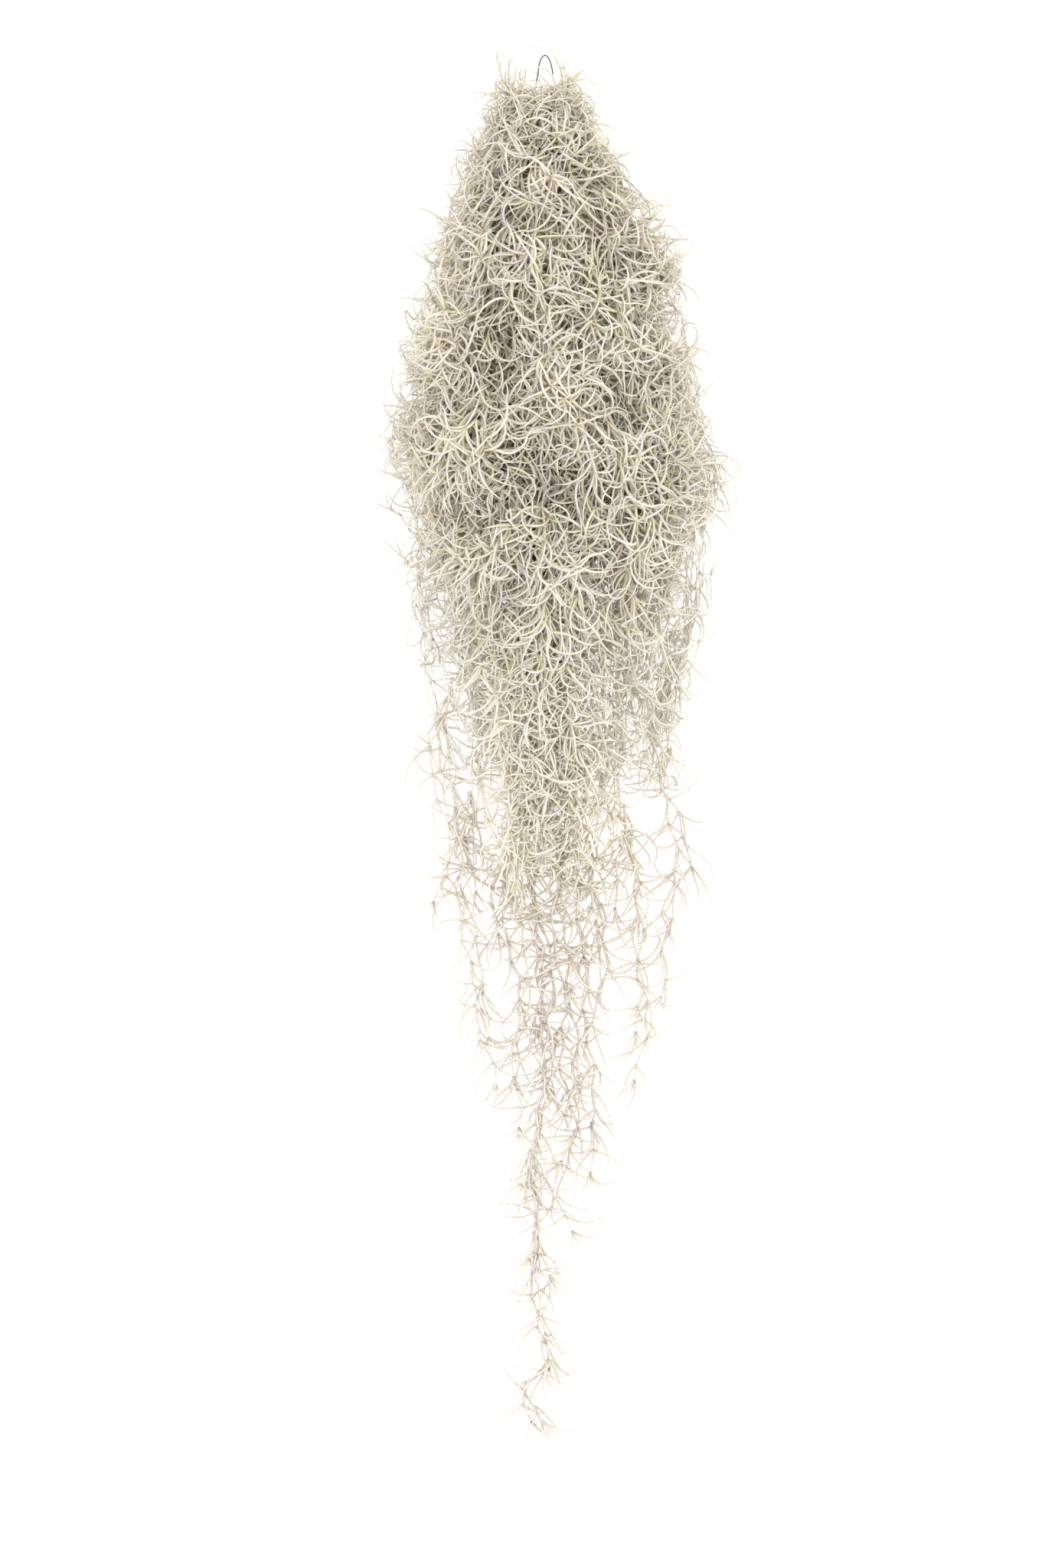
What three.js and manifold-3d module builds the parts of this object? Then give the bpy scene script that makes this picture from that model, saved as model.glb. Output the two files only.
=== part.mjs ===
// A bunch of Spanish moss (Tillandsia usneoides), about a metre long, laid on a surface.
//
// Hundreds of strands are gathered by a wire round their upper ends. Under the wire they tangle into a mat,
// which parts into locks at its lower end, and a single leafy strand trails on from each lock.
// The mat, its locks and the curled leaves that stand out of them have grown through each other, so they are
// one solid. Each trailing strand is a solid of its own, whose stem stands in a plain hole in its lock.
//
// Millimetres. +Z is up and the surface is z = 0. The bunch lies along Y with its tied head at +Y.
// The origin is the middle of the flat underside, below the bunch's weight. Places along the bunch are given
// as "down": the distance from the outermost leaf tips of the head, as if the bunch were hanging.

import * as THREE from 'three';
import { mergeVertices } from 'three/addons/utils/BufferGeometryUtils.js';
import Module from 'manifold-3d';

const wasm = await Module();
wasm.setup();

// ---------------------------------------------------------------- driving dimensions

const MOSS_LENGTH = 1000; // from the head's outermost leaf tips to the tip of the longest strand
const HEAD_Y = 330; // where the head ends, so that the origin lies below the weight

// The mat's cross-sections: half width, half thickness, height of the middle above the surface, sideways shift.
const MAT_SECTIONS = [
  { down: 18, half: 5, thick: 5, lift: 31, shift: 0 },
  { down: 28, half: 11.5, thick: 12, lift: 31, shift: 0 },
  { down: 34, half: 14.5, thick: 15, lift: 30, shift: 0 },
  { down: 40, half: 17, thick: 17, lift: 30, shift: 0 },
  { down: 46, half: 17, thick: 17, lift: 30, shift: 0 },
  { down: 56, half: 27, thick: 22, lift: 32, shift: 0 },
  { down: 84, half: 44, thick: 33, lift: 41, shift: 3 },
  { down: 120, half: 60, thick: 42, lift: 48, shift: 5 },
  { down: 170, half: 83, thick: 51, lift: 54, shift: 0 },
  { down: 230, half: 93, thick: 58, lift: 54, shift: 2 },
  { down: 290, half: 102, thick: 62, lift: 55, shift: 5 },
  { down: 345, half: 92, thick: 60, lift: 53, shift: 8 },
  { down: 400, half: 86, thick: 53, lift: 49, shift: 7 },
  { down: 450, half: 70, thick: 42, lift: 43, shift: 8 },
  { down: 500, half: 52, thick: 29, lift: 34, shift: 9 },
  { down: 545, half: 30, thick: 17, lift: 24, shift: 6 },
  { down: 570, half: 10, thick: 8, lift: 19, shift: 4 },
];
const MAT_AROUND = 20; // sides of the mat
const MAT_ROWS = [18, 28, 40, 46, 58, 82, 110, 140, 170, 200, 230, 260, 290, 320, 350, 380, 410, 440, 470,
  500, 530, 555, 570];
const NECK_DOWN = 62; // where the neck ends and the mat begins
const ROLL_DEPTH = 0.085; // of the mat's radius: the rolls that the strands lie in
const BUMP_DEPTH = 0.03;

// Each trailing strand: its own way from inside the mat to its tip, as [x, down, height] of the stem.
// A lock of matted strands follows the first part of it, as far as lockEnd.
const STRANDS = [
  { name: 'trailing_strand_far_left', lockEnd: 470, lockRadius: 20,
    way: [[-50, 380, 40], [-67, 440, 24], [-75, 490, 12], [-68, 540, 8], [-70, 580, 7], [-76, 606, 6]] },
  { name: 'trailing_strand_left', lockEnd: 545, lockRadius: 19,
    way: [[-36, 440, 32], [-50, 510, 17], [-58, 570, 9], [-57, 620, 7], [-49, 655, 7], [-48, 695, 7],
      [-35, 740, 6]] },
  { name: 'trailing_strand_inner_left', lockEnd: 575, lockRadius: 17,
    way: [[-20, 470, 26], [-28, 550, 14], [-26, 610, 9], [-20, 680, 8], [-16, 725, 7], [-19, 772, 6]] },
  { name: 'trailing_strand_longest', lockEnd: 600, lockRadius: 16,
    way: [[-4, 480, 27], [-6, 570, 14], [-4, 640, 10], [-1, 690, 9], [-1, 765, 9], [-7, 830, 8], [-6, 925, 8],
      [5, 945, 7], [-12, 967, 6], [0, 988, 5]] },
  { name: 'trailing_strand_middle', lockEnd: 570, lockRadius: 16,
    way: [[12, 470, 30], [10, 545, 22], [13, 610, 15], [16, 680, 11], [14, 740, 9], [21, 785, 9],
      [12, 823, 8], [20, 848, 6]] },
  { name: 'trailing_strand_inner_right', lockEnd: 585, lockRadius: 17,
    way: [[24, 470, 26], [34, 560, 14], [37, 620, 9], [33, 680, 8], [31, 725, 8], [38, 765, 7], [37, 805, 6]] },
  { name: 'trailing_strand_right', lockEnd: 560, lockRadius: 18,
    way: [[40, 450, 32], [56, 525, 17], [64, 590, 10], [70, 650, 8], [73, 700, 7], [66, 737, 6]] },
  { name: 'trailing_strand_outer_right', lockEnd: 510, lockRadius: 19,
    way: [[56, 410, 38], [80, 475, 22], [91, 530, 12], [94, 580, 8], [88, 612, 7], [92, 640, 7],
      [86, 676, 6]] },
];
const LOCK_TIP_RADIUS = 5;
const LOCK_STEPS = 5;
const LOCK_SIDES = 6;
const STEM_RADIUS = 1.3;
const STEM_TIP_RADIUS = 1.05;
const STEM_SIDES = 4;
const SEAT_DEPTH = 22; // how far each stem stands in its lock
const SEAT_GAP = 0.35;
const SEAT_SIDES = 6;
const STRAIGHT_OUT = 4; // how far a stem runs straight on from its lock
const NODE_SPACING = 26; // between the joints of a stem, where its leaves grow
const ZIGZAG = 3.5; // a stem turns from side to side at its joints
const TIP_LENGTH = 13; // of the pointed shoot beyond the last joint

// Leaves, at true size: pointed, in short straight stretches.
const LEAF_TAPER = [1, 0.95, 0.7, 0];
const LEAF_SIDES = 3;
const LEAF_RADIUS = 1.1; // on the mat
const LEAF_LENGTHS = [38, 58];
const LEAF_TURNS = [1.4, 2.9]; // radians from root to tip
const LEAF_ROOT_SINK = 2.5; // how far a root goes on into the mat
const LEAF_REACH = 29; // how far a leaf gets from the mat
const LEAST_REACH = 9;
const ROOT_EDGE = 1.25; // between a root's middle and the edges of the face that it stands on
const MAX_SUNK = 16; // cubic millimetres of a leaf inside the mat: its root only
const LEAF_COUNT = 320; // on the mat and its locks
const HEAD_LEAF_COUNT = 42; // on the neck and above
const HEAD_RISE = 1; // how strongly those leaves point away from the mat
const STRAND_LEAF_RADIUS = 0.72;
const STRAND_LEAF_LENGTHS = [26, 40];
const STRAND_LEAF_TURNS = [0.9, 2.1];
const END_LEAF_SHARE = 0.6; // the last joint's leaves are shorter
const LEAF_FROM_JOINT = 2.2; // a joint's two leaves stand this far to either side of it
const MAX_TRIES = 30; // places or curls tried before a leaf is given up
const FLOOR_CLEAR = 0.8; // under a leaf or stem that lies along the surface
const CLEARANCE = 0.5; // between leaves, and round the wire
const MOST_APART = 120; // what is further off than this can't touch
const SHORTEST_EDGE = 0.02; // shorter ones, left by the joining, are drawn together

// The wire: a tie round the strands' upper ends, with an eye for a hook beyond the head.
const WIRE_RADIUS = 0.45;
const TIE_DOWN = 43;
const TIE_RADIUS = 17.9;
const TIE_LIFT = 30;
const EYE_BEYOND = 11; // how far the eye stands out past the head's leaf tips
const EYE_WAY = [[-TIE_RADIUS, TIE_DOWN], [-17.6, 35], [-14.5, 26], [-8.5, 15], [-5.6, 5], [-4.4, -4],
  [-2.6, -9], [0, -EYE_BEYOND], [2.8, -8.5], [4.9, -2], [6.2, 6], [9.2, 15], [14.5, 26], [17.6, 35],
  [TIE_RADIUS, TIE_DOWN]];
const WIRE_SIDES = 6;
const TIE_STEPS = 28;
const EYE_STEPS = 22;
const HOOK_ROOM = { from: -5, to: 5, radius: 7 }; // inside the eye, kept free of leaves

// ---------------------------------------------------------------- helpers

const at = (x, down, z) => new THREE.Vector3(x, HEAD_Y - down, z);
const UP = new THREE.Vector3(0, 0, 1);
const DOWN_THE_BUNCH = new THREE.Vector3(0, -1, 0);

// Seeded random numbers, so that every build grows the same bunch.
function seeded(seed) {
  let state = seed;
  return () => {
    state = (state + 0x6d2b79f5) | 0;
    let t = Math.imul(state ^ (state >>> 15), 1 | state);
    t = (t + Math.imul(t ^ (t >>> 7), 61 | t)) ^ t;
    return ((t ^ (t >>> 14)) >>> 0) / 4294967296;
  };
}
const random = seeded(71);
const between = (low, high) => low + (high - low) * random();

function solidOf(geometry) {
  geometry.deleteAttribute('normal');
  geometry.deleteAttribute('uv');
  const merged = mergeVertices(geometry, 1e-4);
  return new wasm.Manifold(new wasm.Mesh({
    numProp: 3,
    vertProperties: new Float32Array(merged.attributes.position.array),
    triVerts: new Uint32Array(merged.index.array),
  }));
}

// The biggest of a solid's bodies: a leaf whose root missed the mat is left out.
function largest(solid) {
  return solid.decompose().reduce((best, one) => (one.volume() > best.volume() ? one : best));
}

function geometryOf(solid) {
  const mesh = solid.simplify(SHORTEST_EDGE).getMesh();
  const geometry = new THREE.BufferGeometry();
  geometry.setAttribute('position', new THREE.BufferAttribute(new Float32Array(mesh.vertProperties), 3));
  geometry.setIndex(new THREE.BufferAttribute(new Uint32Array(mesh.triVerts), 1));
  geometry.computeVertexNormals();
  return geometry;
}

// Two directions across a line of points at each of them, carried along it without a twist.
function acrossAlong(points) {
  const last = points.length - 1;
  const side = new THREE.Vector3();
  return points.map((_, j) => {
    const ahead = points[Math.min(j + 1, last)].clone().sub(points[Math.max(j - 1, 0)]).normalize();
    if (j === 0) side.crossVectors(ahead, Math.abs(ahead.z) < 0.9 ? UP : new THREE.Vector3(1, 0, 0));
    side.addScaledVector(ahead, -side.dot(ahead)).normalize();
    return [new THREE.Vector3().crossVectors(ahead, side), side.clone()];
  });
}

// A cylinder bent along a line of points, with its own radius at each. A last radius of 0 makes a point.
function limb(points, radii, sides) {
  const steps = points.length - 1;
  const pointed = radii[steps] === 0;
  const geometry = new THREE.CylinderGeometry(pointed ? 0 : 1, 1, 1, sides, steps);
  const across = acrossAlong(points);
  const position = geometry.attributes.position;
  const vertex = new THREE.Vector3();
  for (let i = 0; i < position.count; i++) {
    vertex.fromBufferAttribute(position, i);
    const j = Math.round((vertex.y + 0.5) * steps);
    const out = Math.hypot(vertex.x, vertex.z);
    const placed = points[j].clone();
    if (out > 1e-6) {
      placed.addScaledVector(across[j][0], (vertex.x / out) * radii[j]);
      placed.addScaledVector(across[j][1], (vertex.z / out) * radii[j]);
    }
    position.setXYZ(i, placed.x, placed.y, placed.z);
  }
  return solidOf(geometry);
}

// The room that leaves, stems and wire take, as round-ended rods, so that nothing grows through anything else.
const rods = [];
function occupy(points, radius, owner) {
  for (let i = 1; i < points.length; i++) rods.push({ a: points[i - 1], b: points[i], radius, owner });
}

// The shortest distance between two stretches of straight line.
function apart(p1, q1, p2, q2) {
  const d1 = q1.clone().sub(p1);
  const d2 = q2.clone().sub(p2);
  const r = p1.clone().sub(p2);
  const a = d1.dot(d1);
  const e = d2.dot(d2);
  const f = d2.dot(r);
  const c = d1.dot(r);
  const b = d1.dot(d2);
  const denominator = a * e - b * b;
  let s = denominator > 1e-9 ? THREE.MathUtils.clamp((b * f - c * e) / denominator, 0, 1) : 0;
  const t = THREE.MathUtils.clamp((b * s + f) / e, 0, 1);
  s = THREE.MathUtils.clamp((b * t - c) / a, 0, 1);
  return p1.clone().addScaledVector(d1, s).distanceTo(p2.clone().addScaledVector(d2, t));
}

// Whether a line of this radius is clear of everything but what one owner has grown.
function free(points, radius, owner) {
  return rods.every((rod) => {
    if (rod.owner === owner || rod.a.distanceTo(points[1]) > MOST_APART) return true;
    const need = radius + rod.radius + CLEARANCE;
    return points.every((point, i) => i === 0 || apart(points[i - 1], point, rod.a, rod.b) >= need);
  });
}

// ---------------------------------------------------------------- the mat

const sectionDowns = MAT_SECTIONS.map((s) => s.down);
const sectionValues = MAT_SECTIONS.flatMap((s) => [s.half, s.thick, s.lift, s.shift]);
const sections = new THREE.CubicInterpolant(sectionDowns, sectionValues, 4);

function matSection(down) {
  const [half, thick, lift, shift] = sections.evaluate(down);
  return { half, thick, lift, shift };
}

// The point of the mat's surface at an angle from straight up towards +X.
function matPoint(down, angle) {
  const { half, thick, lift, shift } = matSection(down);
  const rolls = Math.cos(6 * angle + Math.sin(down / 70) * 1.6) + 0.35 * Math.cos(4 * angle - down / 45);
  const upper = THREE.MathUtils.smoothstep(Math.cos(angle), -0.95, -0.4); // the underside is pressed flat
  const fade = THREE.MathUtils.smoothstep(down, 50, 110) * upper;
  const swell = 1 + fade * (ROLL_DEPTH * rolls + BUMP_DEPTH * Math.sin(down / 17 + 2 * angle));
  return at(shift + half * swell * Math.sin(angle), down, lift + thick * swell * Math.cos(angle));
}

function matBody() {
  const geometry = new THREE.CylinderGeometry(1, 1, 1, MAT_AROUND, MAT_ROWS.length - 1);
  const position = geometry.attributes.position;
  const last = MAT_ROWS.length - 1;
  for (let i = 0; i < position.count; i++) {
    const down = MAT_ROWS[Math.round((0.5 - position.getY(i)) * last)];
    const x = position.getX(i);
    const z = position.getZ(i);
    const { lift, shift } = matSection(down);
    const placed = Math.hypot(x, z) > 1e-6 ? matPoint(down, Math.atan2(x, z)) : at(shift, down, lift);
    position.setXYZ(i, placed.x, placed.y, placed.z);
  }
  return solidOf(geometry);
}

// ---------------------------------------------------------------- ways of strands

function wayOf(strand) {
  return new THREE.CatmullRomCurve3(strand.way.map(([x, down, z]) => at(x, down, z)), false, 'centripetal');
}

// The share of the way at which a strand is this far down.
function shareAt(curve, down) {
  let low = 0;
  let high = 1;
  for (let i = 0; i < 30; i++) {
    const middle = (low + high) / 2;
    if (HEAD_Y - curve.getPointAt(middle).y < down) low = middle;
    else high = middle;
  }
  return low;
}

function lockPoints(strand) {
  const curve = wayOf(strand);
  const end = shareAt(curve, strand.lockEnd);
  return Array.from({ length: LOCK_STEPS + 1 }, (_, i) => curve.getPointAt((end * i) / LOCK_STEPS));
}

function lockSolid(strand) {
  const points = lockPoints(strand);
  const radii = points.map((_, i) => {
    return THREE.MathUtils.lerp(strand.lockRadius, LOCK_TIP_RADIUS, (i / LOCK_STEPS) ** 1.6);
  });
  return limb(points, radii, LOCK_SIDES);
}

// Where a strand leaves its lock, and which way.
function lockMouth(strand) {
  const points = lockPoints(strand);
  const mouth = points[LOCK_STEPS];
  return { mouth, ahead: mouth.clone().sub(points[LOCK_STEPS - 1]).normalize() };
}

// ---------------------------------------------------------------- leaves

// A leaf as a few points of one curl, from a root. It leaves along start and turns towards lean.
function leafPoints(root, sink, start, lean, length, turn) {
  const axis = new THREE.Vector3().crossVectors(start, lean).normalize();
  const ahead = start.clone().normalize();
  const points = [root.clone().addScaledVector(ahead, -sink)];
  const steps = LEAF_TAPER.length - 1;
  let here = root.clone();
  for (let i = 0; i < steps; i++) {
    here = here.clone().addScaledVector(ahead, length / steps);
    points.push(here);
    ahead.applyAxisAngle(axis, turn / (steps - 1));
  }
  for (const point of points) point.z = Math.max(point.z, LEAF_RADIUS + FLOOR_CLEAR);
  return points;
}

function leafSolid(points, radius) {
  return limb(points, LEAF_TAPER.map((share) => share * radius), LEAF_SIDES);
}

// ---------------------------------------------------------------- trailing strands

// A strand's stem: straight out of its lock, then turning from side to side at its joints.
function stemPoints(strand) {
  const curve = wayOf(strand);
  const { mouth, ahead } = lockMouth(strand);
  const points = [-SEAT_DEPTH, STRAIGHT_OUT].map((distance) => mouth.clone().addScaledVector(ahead, distance));
  const from = shareAt(curve, strand.lockEnd) + NODE_SPACING / curve.getLength();
  const joints = Math.round(((1 - from) * curve.getLength()) / NODE_SPACING);
  for (let i = 0; i <= joints; i++) {
    const share = from + ((1 - from) * i) / joints;
    const point = curve.getPointAt(share);
    const tangent = curve.getTangentAt(share);
    const sideways = new THREE.Vector3(-tangent.y, tangent.x, 0).normalize();
    point.addScaledVector(sideways, (i % 2 ? ZIGZAG : -ZIGZAG) * between(0.5, 1.1));
    point.z += between(-1, 2);
    points.push(point);
  }
  const tip = points.at(-1).clone().addScaledVector(curve.getTangentAt(1), TIP_LENGTH);
  return [...points, tip];
}

function strandSolid(strand, mat) {
  const stem = stemPoints(strand);
  const last = stem.length - 2; // the last joint, before the tip
  const radii = stem.map((_, i) => THREE.MathUtils.lerp(STEM_RADIUS, STEM_TIP_RADIUS, i / last));
  radii[last + 1] = 0;
  occupy(stem, STEM_RADIUS, strand.name);
  const across = acrossAlong(stem);
  const leaves = [];
  for (let i = 2; i <= last; i++) {
    const back = stem[i - 1].clone().sub(stem[i]).normalize();
    const next = stem[i + 1].clone().sub(stem[i]).normalize();
    for (const towards of [back, next]) {
      const root = stem[i].clone().addScaledVector(towards, LEAF_FROM_JOINT);
      for (let tries = 0; tries < MAX_TRIES; tries++) {
        // A leaf starts square to one of the stem's four faces.
        const start = across[i][1].clone().multiplyScalar(random() < 0.5 ? 1 : -1);
        start.addScaledVector(across[i][0], random() < 0.5 ? 1 : -1).normalize();
        const lean = back.clone().multiplyScalar(random() < 0.7 ? -1 : 1);
        lean.addScaledVector(across[i][1], between(-0.5, 0.5)).z += between(-0.5, 0.3);
        const length = between(...STRAND_LEAF_LENGTHS) * (i === last ? END_LEAF_SHARE : 1);
        const points = leafPoints(root, 0, start, lean, length, between(...STRAND_LEAF_TURNS));
        if (points.some((point) => point.y < HEAD_Y - MOSS_LENGTH)) continue;
        if (!free(points, STRAND_LEAF_RADIUS, strand.name)) continue;
        if (!free(points.slice(1), STRAND_LEAF_RADIUS, null)) continue;
        const leaf = leafSolid(points, STRAND_LEAF_RADIUS);
        if (leaf.intersect(mat).volume() > 0) continue;
        occupy(points, STRAND_LEAF_RADIUS, strand.name);
        leaves.push(leaf);
        break;
      }
    }
  }
  return wasm.Manifold.union([limb(stem, radii, STEM_SIDES), ...leaves]);
}

// The plain hole that a stem stands in.
function seatHole(strand) {
  const { mouth, ahead } = lockMouth(strand);
  const radius = (STEM_RADIUS + SEAT_GAP) / Math.cos(Math.PI / SEAT_SIDES);
  const bottom = mouth.clone().addScaledVector(ahead, -SEAT_DEPTH - SEAT_GAP);
  const beyond = mouth.clone().addScaledVector(ahead, LOCK_TIP_RADIUS);
  return limb([bottom, beyond], [radius, radius], SEAT_SIDES);
}

// ---------------------------------------------------------------- the mat's own leaves

// Places spread evenly over a stretch of the mat, each on one face and clear of that face's edges.
function matRoots(mat, count, from, to) {
  const mesh = mat.getMesh();
  const corner = (i) => new THREE.Vector3().fromArray(mesh.vertProperties, mesh.triVerts[i] * 3);
  const faces = [];
  let total = 0;
  for (let i = 0; i < mesh.triVerts.length; i += 3) {
    const face = new THREE.Triangle(corner(i), corner(i + 1), corner(i + 2));
    const area = face.getArea();
    const longest = Math.max(face.a.distanceTo(face.b), face.b.distanceTo(face.c), face.c.distanceTo(face.a));
    const normal = face.getNormal(new THREE.Vector3());
    const inset = (ROOT_EDGE * longest) / (2 * area); // 1/3 would be the face's middle
    const down = HEAD_Y - face.getMidpoint(new THREE.Vector3()).y;
    if (inset > 0.3 || normal.z < -0.9 || down < from || down > to) continue;
    total += area;
    faces.push({ face, normal, inset, upTo: total });
  }
  const draw = () => {
    const pick = random() * total;
    const { face, normal, inset } = faces.find(({ upTo }) => upTo >= pick);
    const [u, v] = [Math.sqrt(random()), random()];
    const shares = [1 - u, u * (1 - v), u * v].map((share) => inset + (1 - 3 * inset) * share);
    const point = face.a.clone().multiplyScalar(shares[0]);
    point.addScaledVector(face.b, shares[1]).addScaledVector(face.c, shares[2]);
    return { point, out: normal };
  };
  const places = [];
  while (places.length < count) {
    let best = null;
    let bestGap = -1;
    for (let tries = 0; tries < MAX_TRIES / 2; tries++) {
      const place = draw();
      if (place.point.z < LEAF_RADIUS + FLOOR_CLEAR + ROOT_EDGE) continue;
      const gap = Math.min(...places.map((other) => other.point.distanceTo(place.point)));
      if (gap > bestGap) [best, bestGap] = [place, gap];
    }
    places.push(best);
  }
  return places;
}

function matLeaves(mat) {
  const leaves = [];
  const headRoots = matRoots(mat, HEAD_LEAF_COUNT, 0, NECK_DOWN);
  for (const { point, out } of [...headRoots, ...matRoots(mat, LEAF_COUNT, NECK_DOWN, MOSS_LENGTH)]) {
    const inHead = HEAD_Y - point.y < NECK_DOWN;
    for (let tries = 0; tries < MAX_TRIES; tries++) {
      const swirl = new THREE.Vector3(between(-1, 1), between(-1, 1), between(-1, 1)).normalize();
      const start = out.clone().addScaledVector(swirl, 0.55);
      if (inHead) start.addScaledVector(DOWN_THE_BUNCH, -HEAD_RISE);
      const lean = swirl.clone().cross(out).addScaledVector(out, -0.5);
      lean.addScaledVector(DOWN_THE_BUNCH, between(-0.2, 0.6));
      const length = between(...LEAF_LENGTHS);
      const points = leafPoints(point, LEAF_ROOT_SINK, start.normalize(), lean, length, between(...LEAF_TURNS));
      const reach = Math.max(...points.map((p) => p.clone().sub(point).dot(out)));
      if (reach > LEAF_REACH || reach < LEAST_REACH) continue;
      if (points.some((p) => p.y > HEAD_Y) || !free(points, LEAF_RADIUS, null)) continue;
      const leaf = leafSolid(points, LEAF_RADIUS);
      if (leaf.intersect(mat).volume() > MAX_SUNK) continue;
      occupy(points, LEAF_RADIUS, 'moss_mass');
      leaves.push(leaf);
      break;
    }
  }
  return leaves;
}

// ---------------------------------------------------------------- the wire

function wireSolid() {
  const tie = new THREE.TorusGeometry(TIE_RADIUS, WIRE_RADIUS, WIRE_SIDES, TIE_STEPS).rotateX(Math.PI / 2);
  tie.translate(0, HEAD_Y - TIE_DOWN, TIE_LIFT);
  const corners = EYE_WAY.map(([x, down]) => at(x, down, TIE_LIFT));
  const points = new THREE.CatmullRomCurve3(corners, false, 'centripetal').getSpacedPoints(EYE_STEPS);
  occupy(points, WIRE_RADIUS, 'hanging_wire');
  const ring = Array.from({ length: TIE_STEPS + 1 }, (_, i) => {
    const angle = (i / TIE_STEPS) * Math.PI * 2;
    return at(TIE_RADIUS * Math.cos(angle), TIE_DOWN, TIE_LIFT + TIE_RADIUS * Math.sin(angle));
  });
  occupy(ring, WIRE_RADIUS, 'hanging_wire');
  occupy([at(0, HOOK_ROOM.from, TIE_LIFT), at(0, HOOK_ROOM.to, TIE_LIFT)], HOOK_ROOM.radius, 'hook');
  return solidOf(tie).add(limb(points, points.map(() => WIRE_RADIUS), WIRE_SIDES));
}

// ---------------------------------------------------------------- the bunch

const moss = { color: 0xc9c0ae, roughness: 0.85, metalness: 0 };
const trailing = { color: 0xdcd2bd, roughness: 0.85, metalness: 0 };
const steel = { color: 0x4a444a, roughness: 0.45, metalness: 0.9 };

function meshOf(name, solid, finish) {
  const mesh = new THREE.Mesh(geometryOf(solid), new THREE.MeshStandardMaterial(finish));
  mesh.name = name;
  return mesh;
}

const bunch = new THREE.Group();
const wire = wireSolid();
const underSurface = solidOf(new THREE.BoxGeometry(2000, 2000, 200).translate(0, 0, -100));
const seats = wasm.Manifold.union(STRANDS.map(seatHole));
const mat = wasm.Manifold.union([matBody(), ...STRANDS.map(lockSolid)]).subtract(underSurface).subtract(seats);

for (const strand of STRANDS) bunch.add(meshOf(strand.name, strandSolid(strand, mat), trailing));
bunch.add(meshOf('moss_mass', largest(wasm.Manifold.union([mat, ...matLeaves(mat)])), moss));
bunch.add(meshOf('hanging_wire', wire, steel));

export default bunch;
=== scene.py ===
"""A hanging bunch of Spanish moss (Tillandsia usneoides), about a metre long, laid on a pale floor.

The bunch is grown by rule. Strands leave the wire tie at the head and run down the bunch in layers over a
matted core. Each strand is a thin stem with joints, and two to four curled leaves radiate from every joint,
with up to five at a shoot's end. The trailing strands below the mass follow the ways of the CAD model's
strands. Lengths are in millimetres until a mesh is made. "Down" is how far a place lies from the head's end,
"tone" picks a leaf's colour from dim to pale, and "out" is the direction away from the middle of the bunch.
"""
import math

import bpy
import numpy as np
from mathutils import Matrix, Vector


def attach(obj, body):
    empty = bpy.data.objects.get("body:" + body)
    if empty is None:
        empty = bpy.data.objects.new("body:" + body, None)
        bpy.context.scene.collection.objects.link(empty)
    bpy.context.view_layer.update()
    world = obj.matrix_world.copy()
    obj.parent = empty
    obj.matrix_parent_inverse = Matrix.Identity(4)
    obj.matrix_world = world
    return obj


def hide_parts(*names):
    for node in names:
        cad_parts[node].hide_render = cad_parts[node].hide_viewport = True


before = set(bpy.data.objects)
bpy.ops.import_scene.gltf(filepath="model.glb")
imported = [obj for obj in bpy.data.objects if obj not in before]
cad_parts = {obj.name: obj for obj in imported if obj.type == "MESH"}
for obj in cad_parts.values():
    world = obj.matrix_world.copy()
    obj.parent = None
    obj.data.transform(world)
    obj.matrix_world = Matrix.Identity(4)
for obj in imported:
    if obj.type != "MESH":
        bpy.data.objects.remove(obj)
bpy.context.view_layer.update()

MM = 0.001
rng = np.random.default_rng(20241)

# ---------------------------------------------------------------- driving dimensions

HEAD_Y = 330.0  # where the head's outermost leaf tips end
MOSS_LENGTH = 1000.0
FLOOR_CLEAR = 0.4  # under the leaves that lie on the floor

# The mass seen from above: how far down, its left and right edge, and the height of its top.
OUTLINE = np.array([
    (0, -20, 16, 44), (16, -36, 31, 52), (38, -49, 39, 58), (60, -55, 54, 66), (83, -61, 71, 80),
    (105, -73, 80, 91), (127, -82, 91, 100), (149, -88, 98, 108), (172, -100, 100, 113),
    (216, -101, 106, 119), (239, -103, 107, 122), (261, -112, 114, 124), (283, -116, 125, 125),
    (306, -97, 127, 125), (340, -91, 111, 122), (373, -90, 104, 116), (395, -90, 102, 111),
    (430, -78, 94, 99), (470, -68, 86, 80), (500, -57, 82, 66), (530, -54, 74, 54), (560, -48, 68, 44),
    (600, -40, 60, 34), (650, -34, 54, 26), (720, -30, 50, 22), (1000, -20, 20, 18),
], float)

# How near the head's end the leaves come at each x, which leaves the wire's eye in sight.
HEAD_EDGE = np.array([
    (-80, 74), (-62, 54), (-50, 26), (-40, 15), (-31, 0), (-25, 5), (-17, 9), (-8, 9), (0, 9),
    (8, 6), (14, 1), (20, 3), (27, 16), (38, 29), (50, 46), (66, 66), (84, 90),
], float)

# How far inside the outline the outermost joints lie at each distance down.
INSET = np.array([(30, 8), (90, 14), (180, 20), (300, 23)], float)
TOP_INSET = 0.3  # of that, below the top
WAIST = 0.42  # of the height: where the mass is widest
LOWEST_JOINT = 2.5
LEAST_HALF, LEAST_UP, LEAST_BELOW = 3.0, 3.0, 2.0  # what is always left of a cross-section

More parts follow.
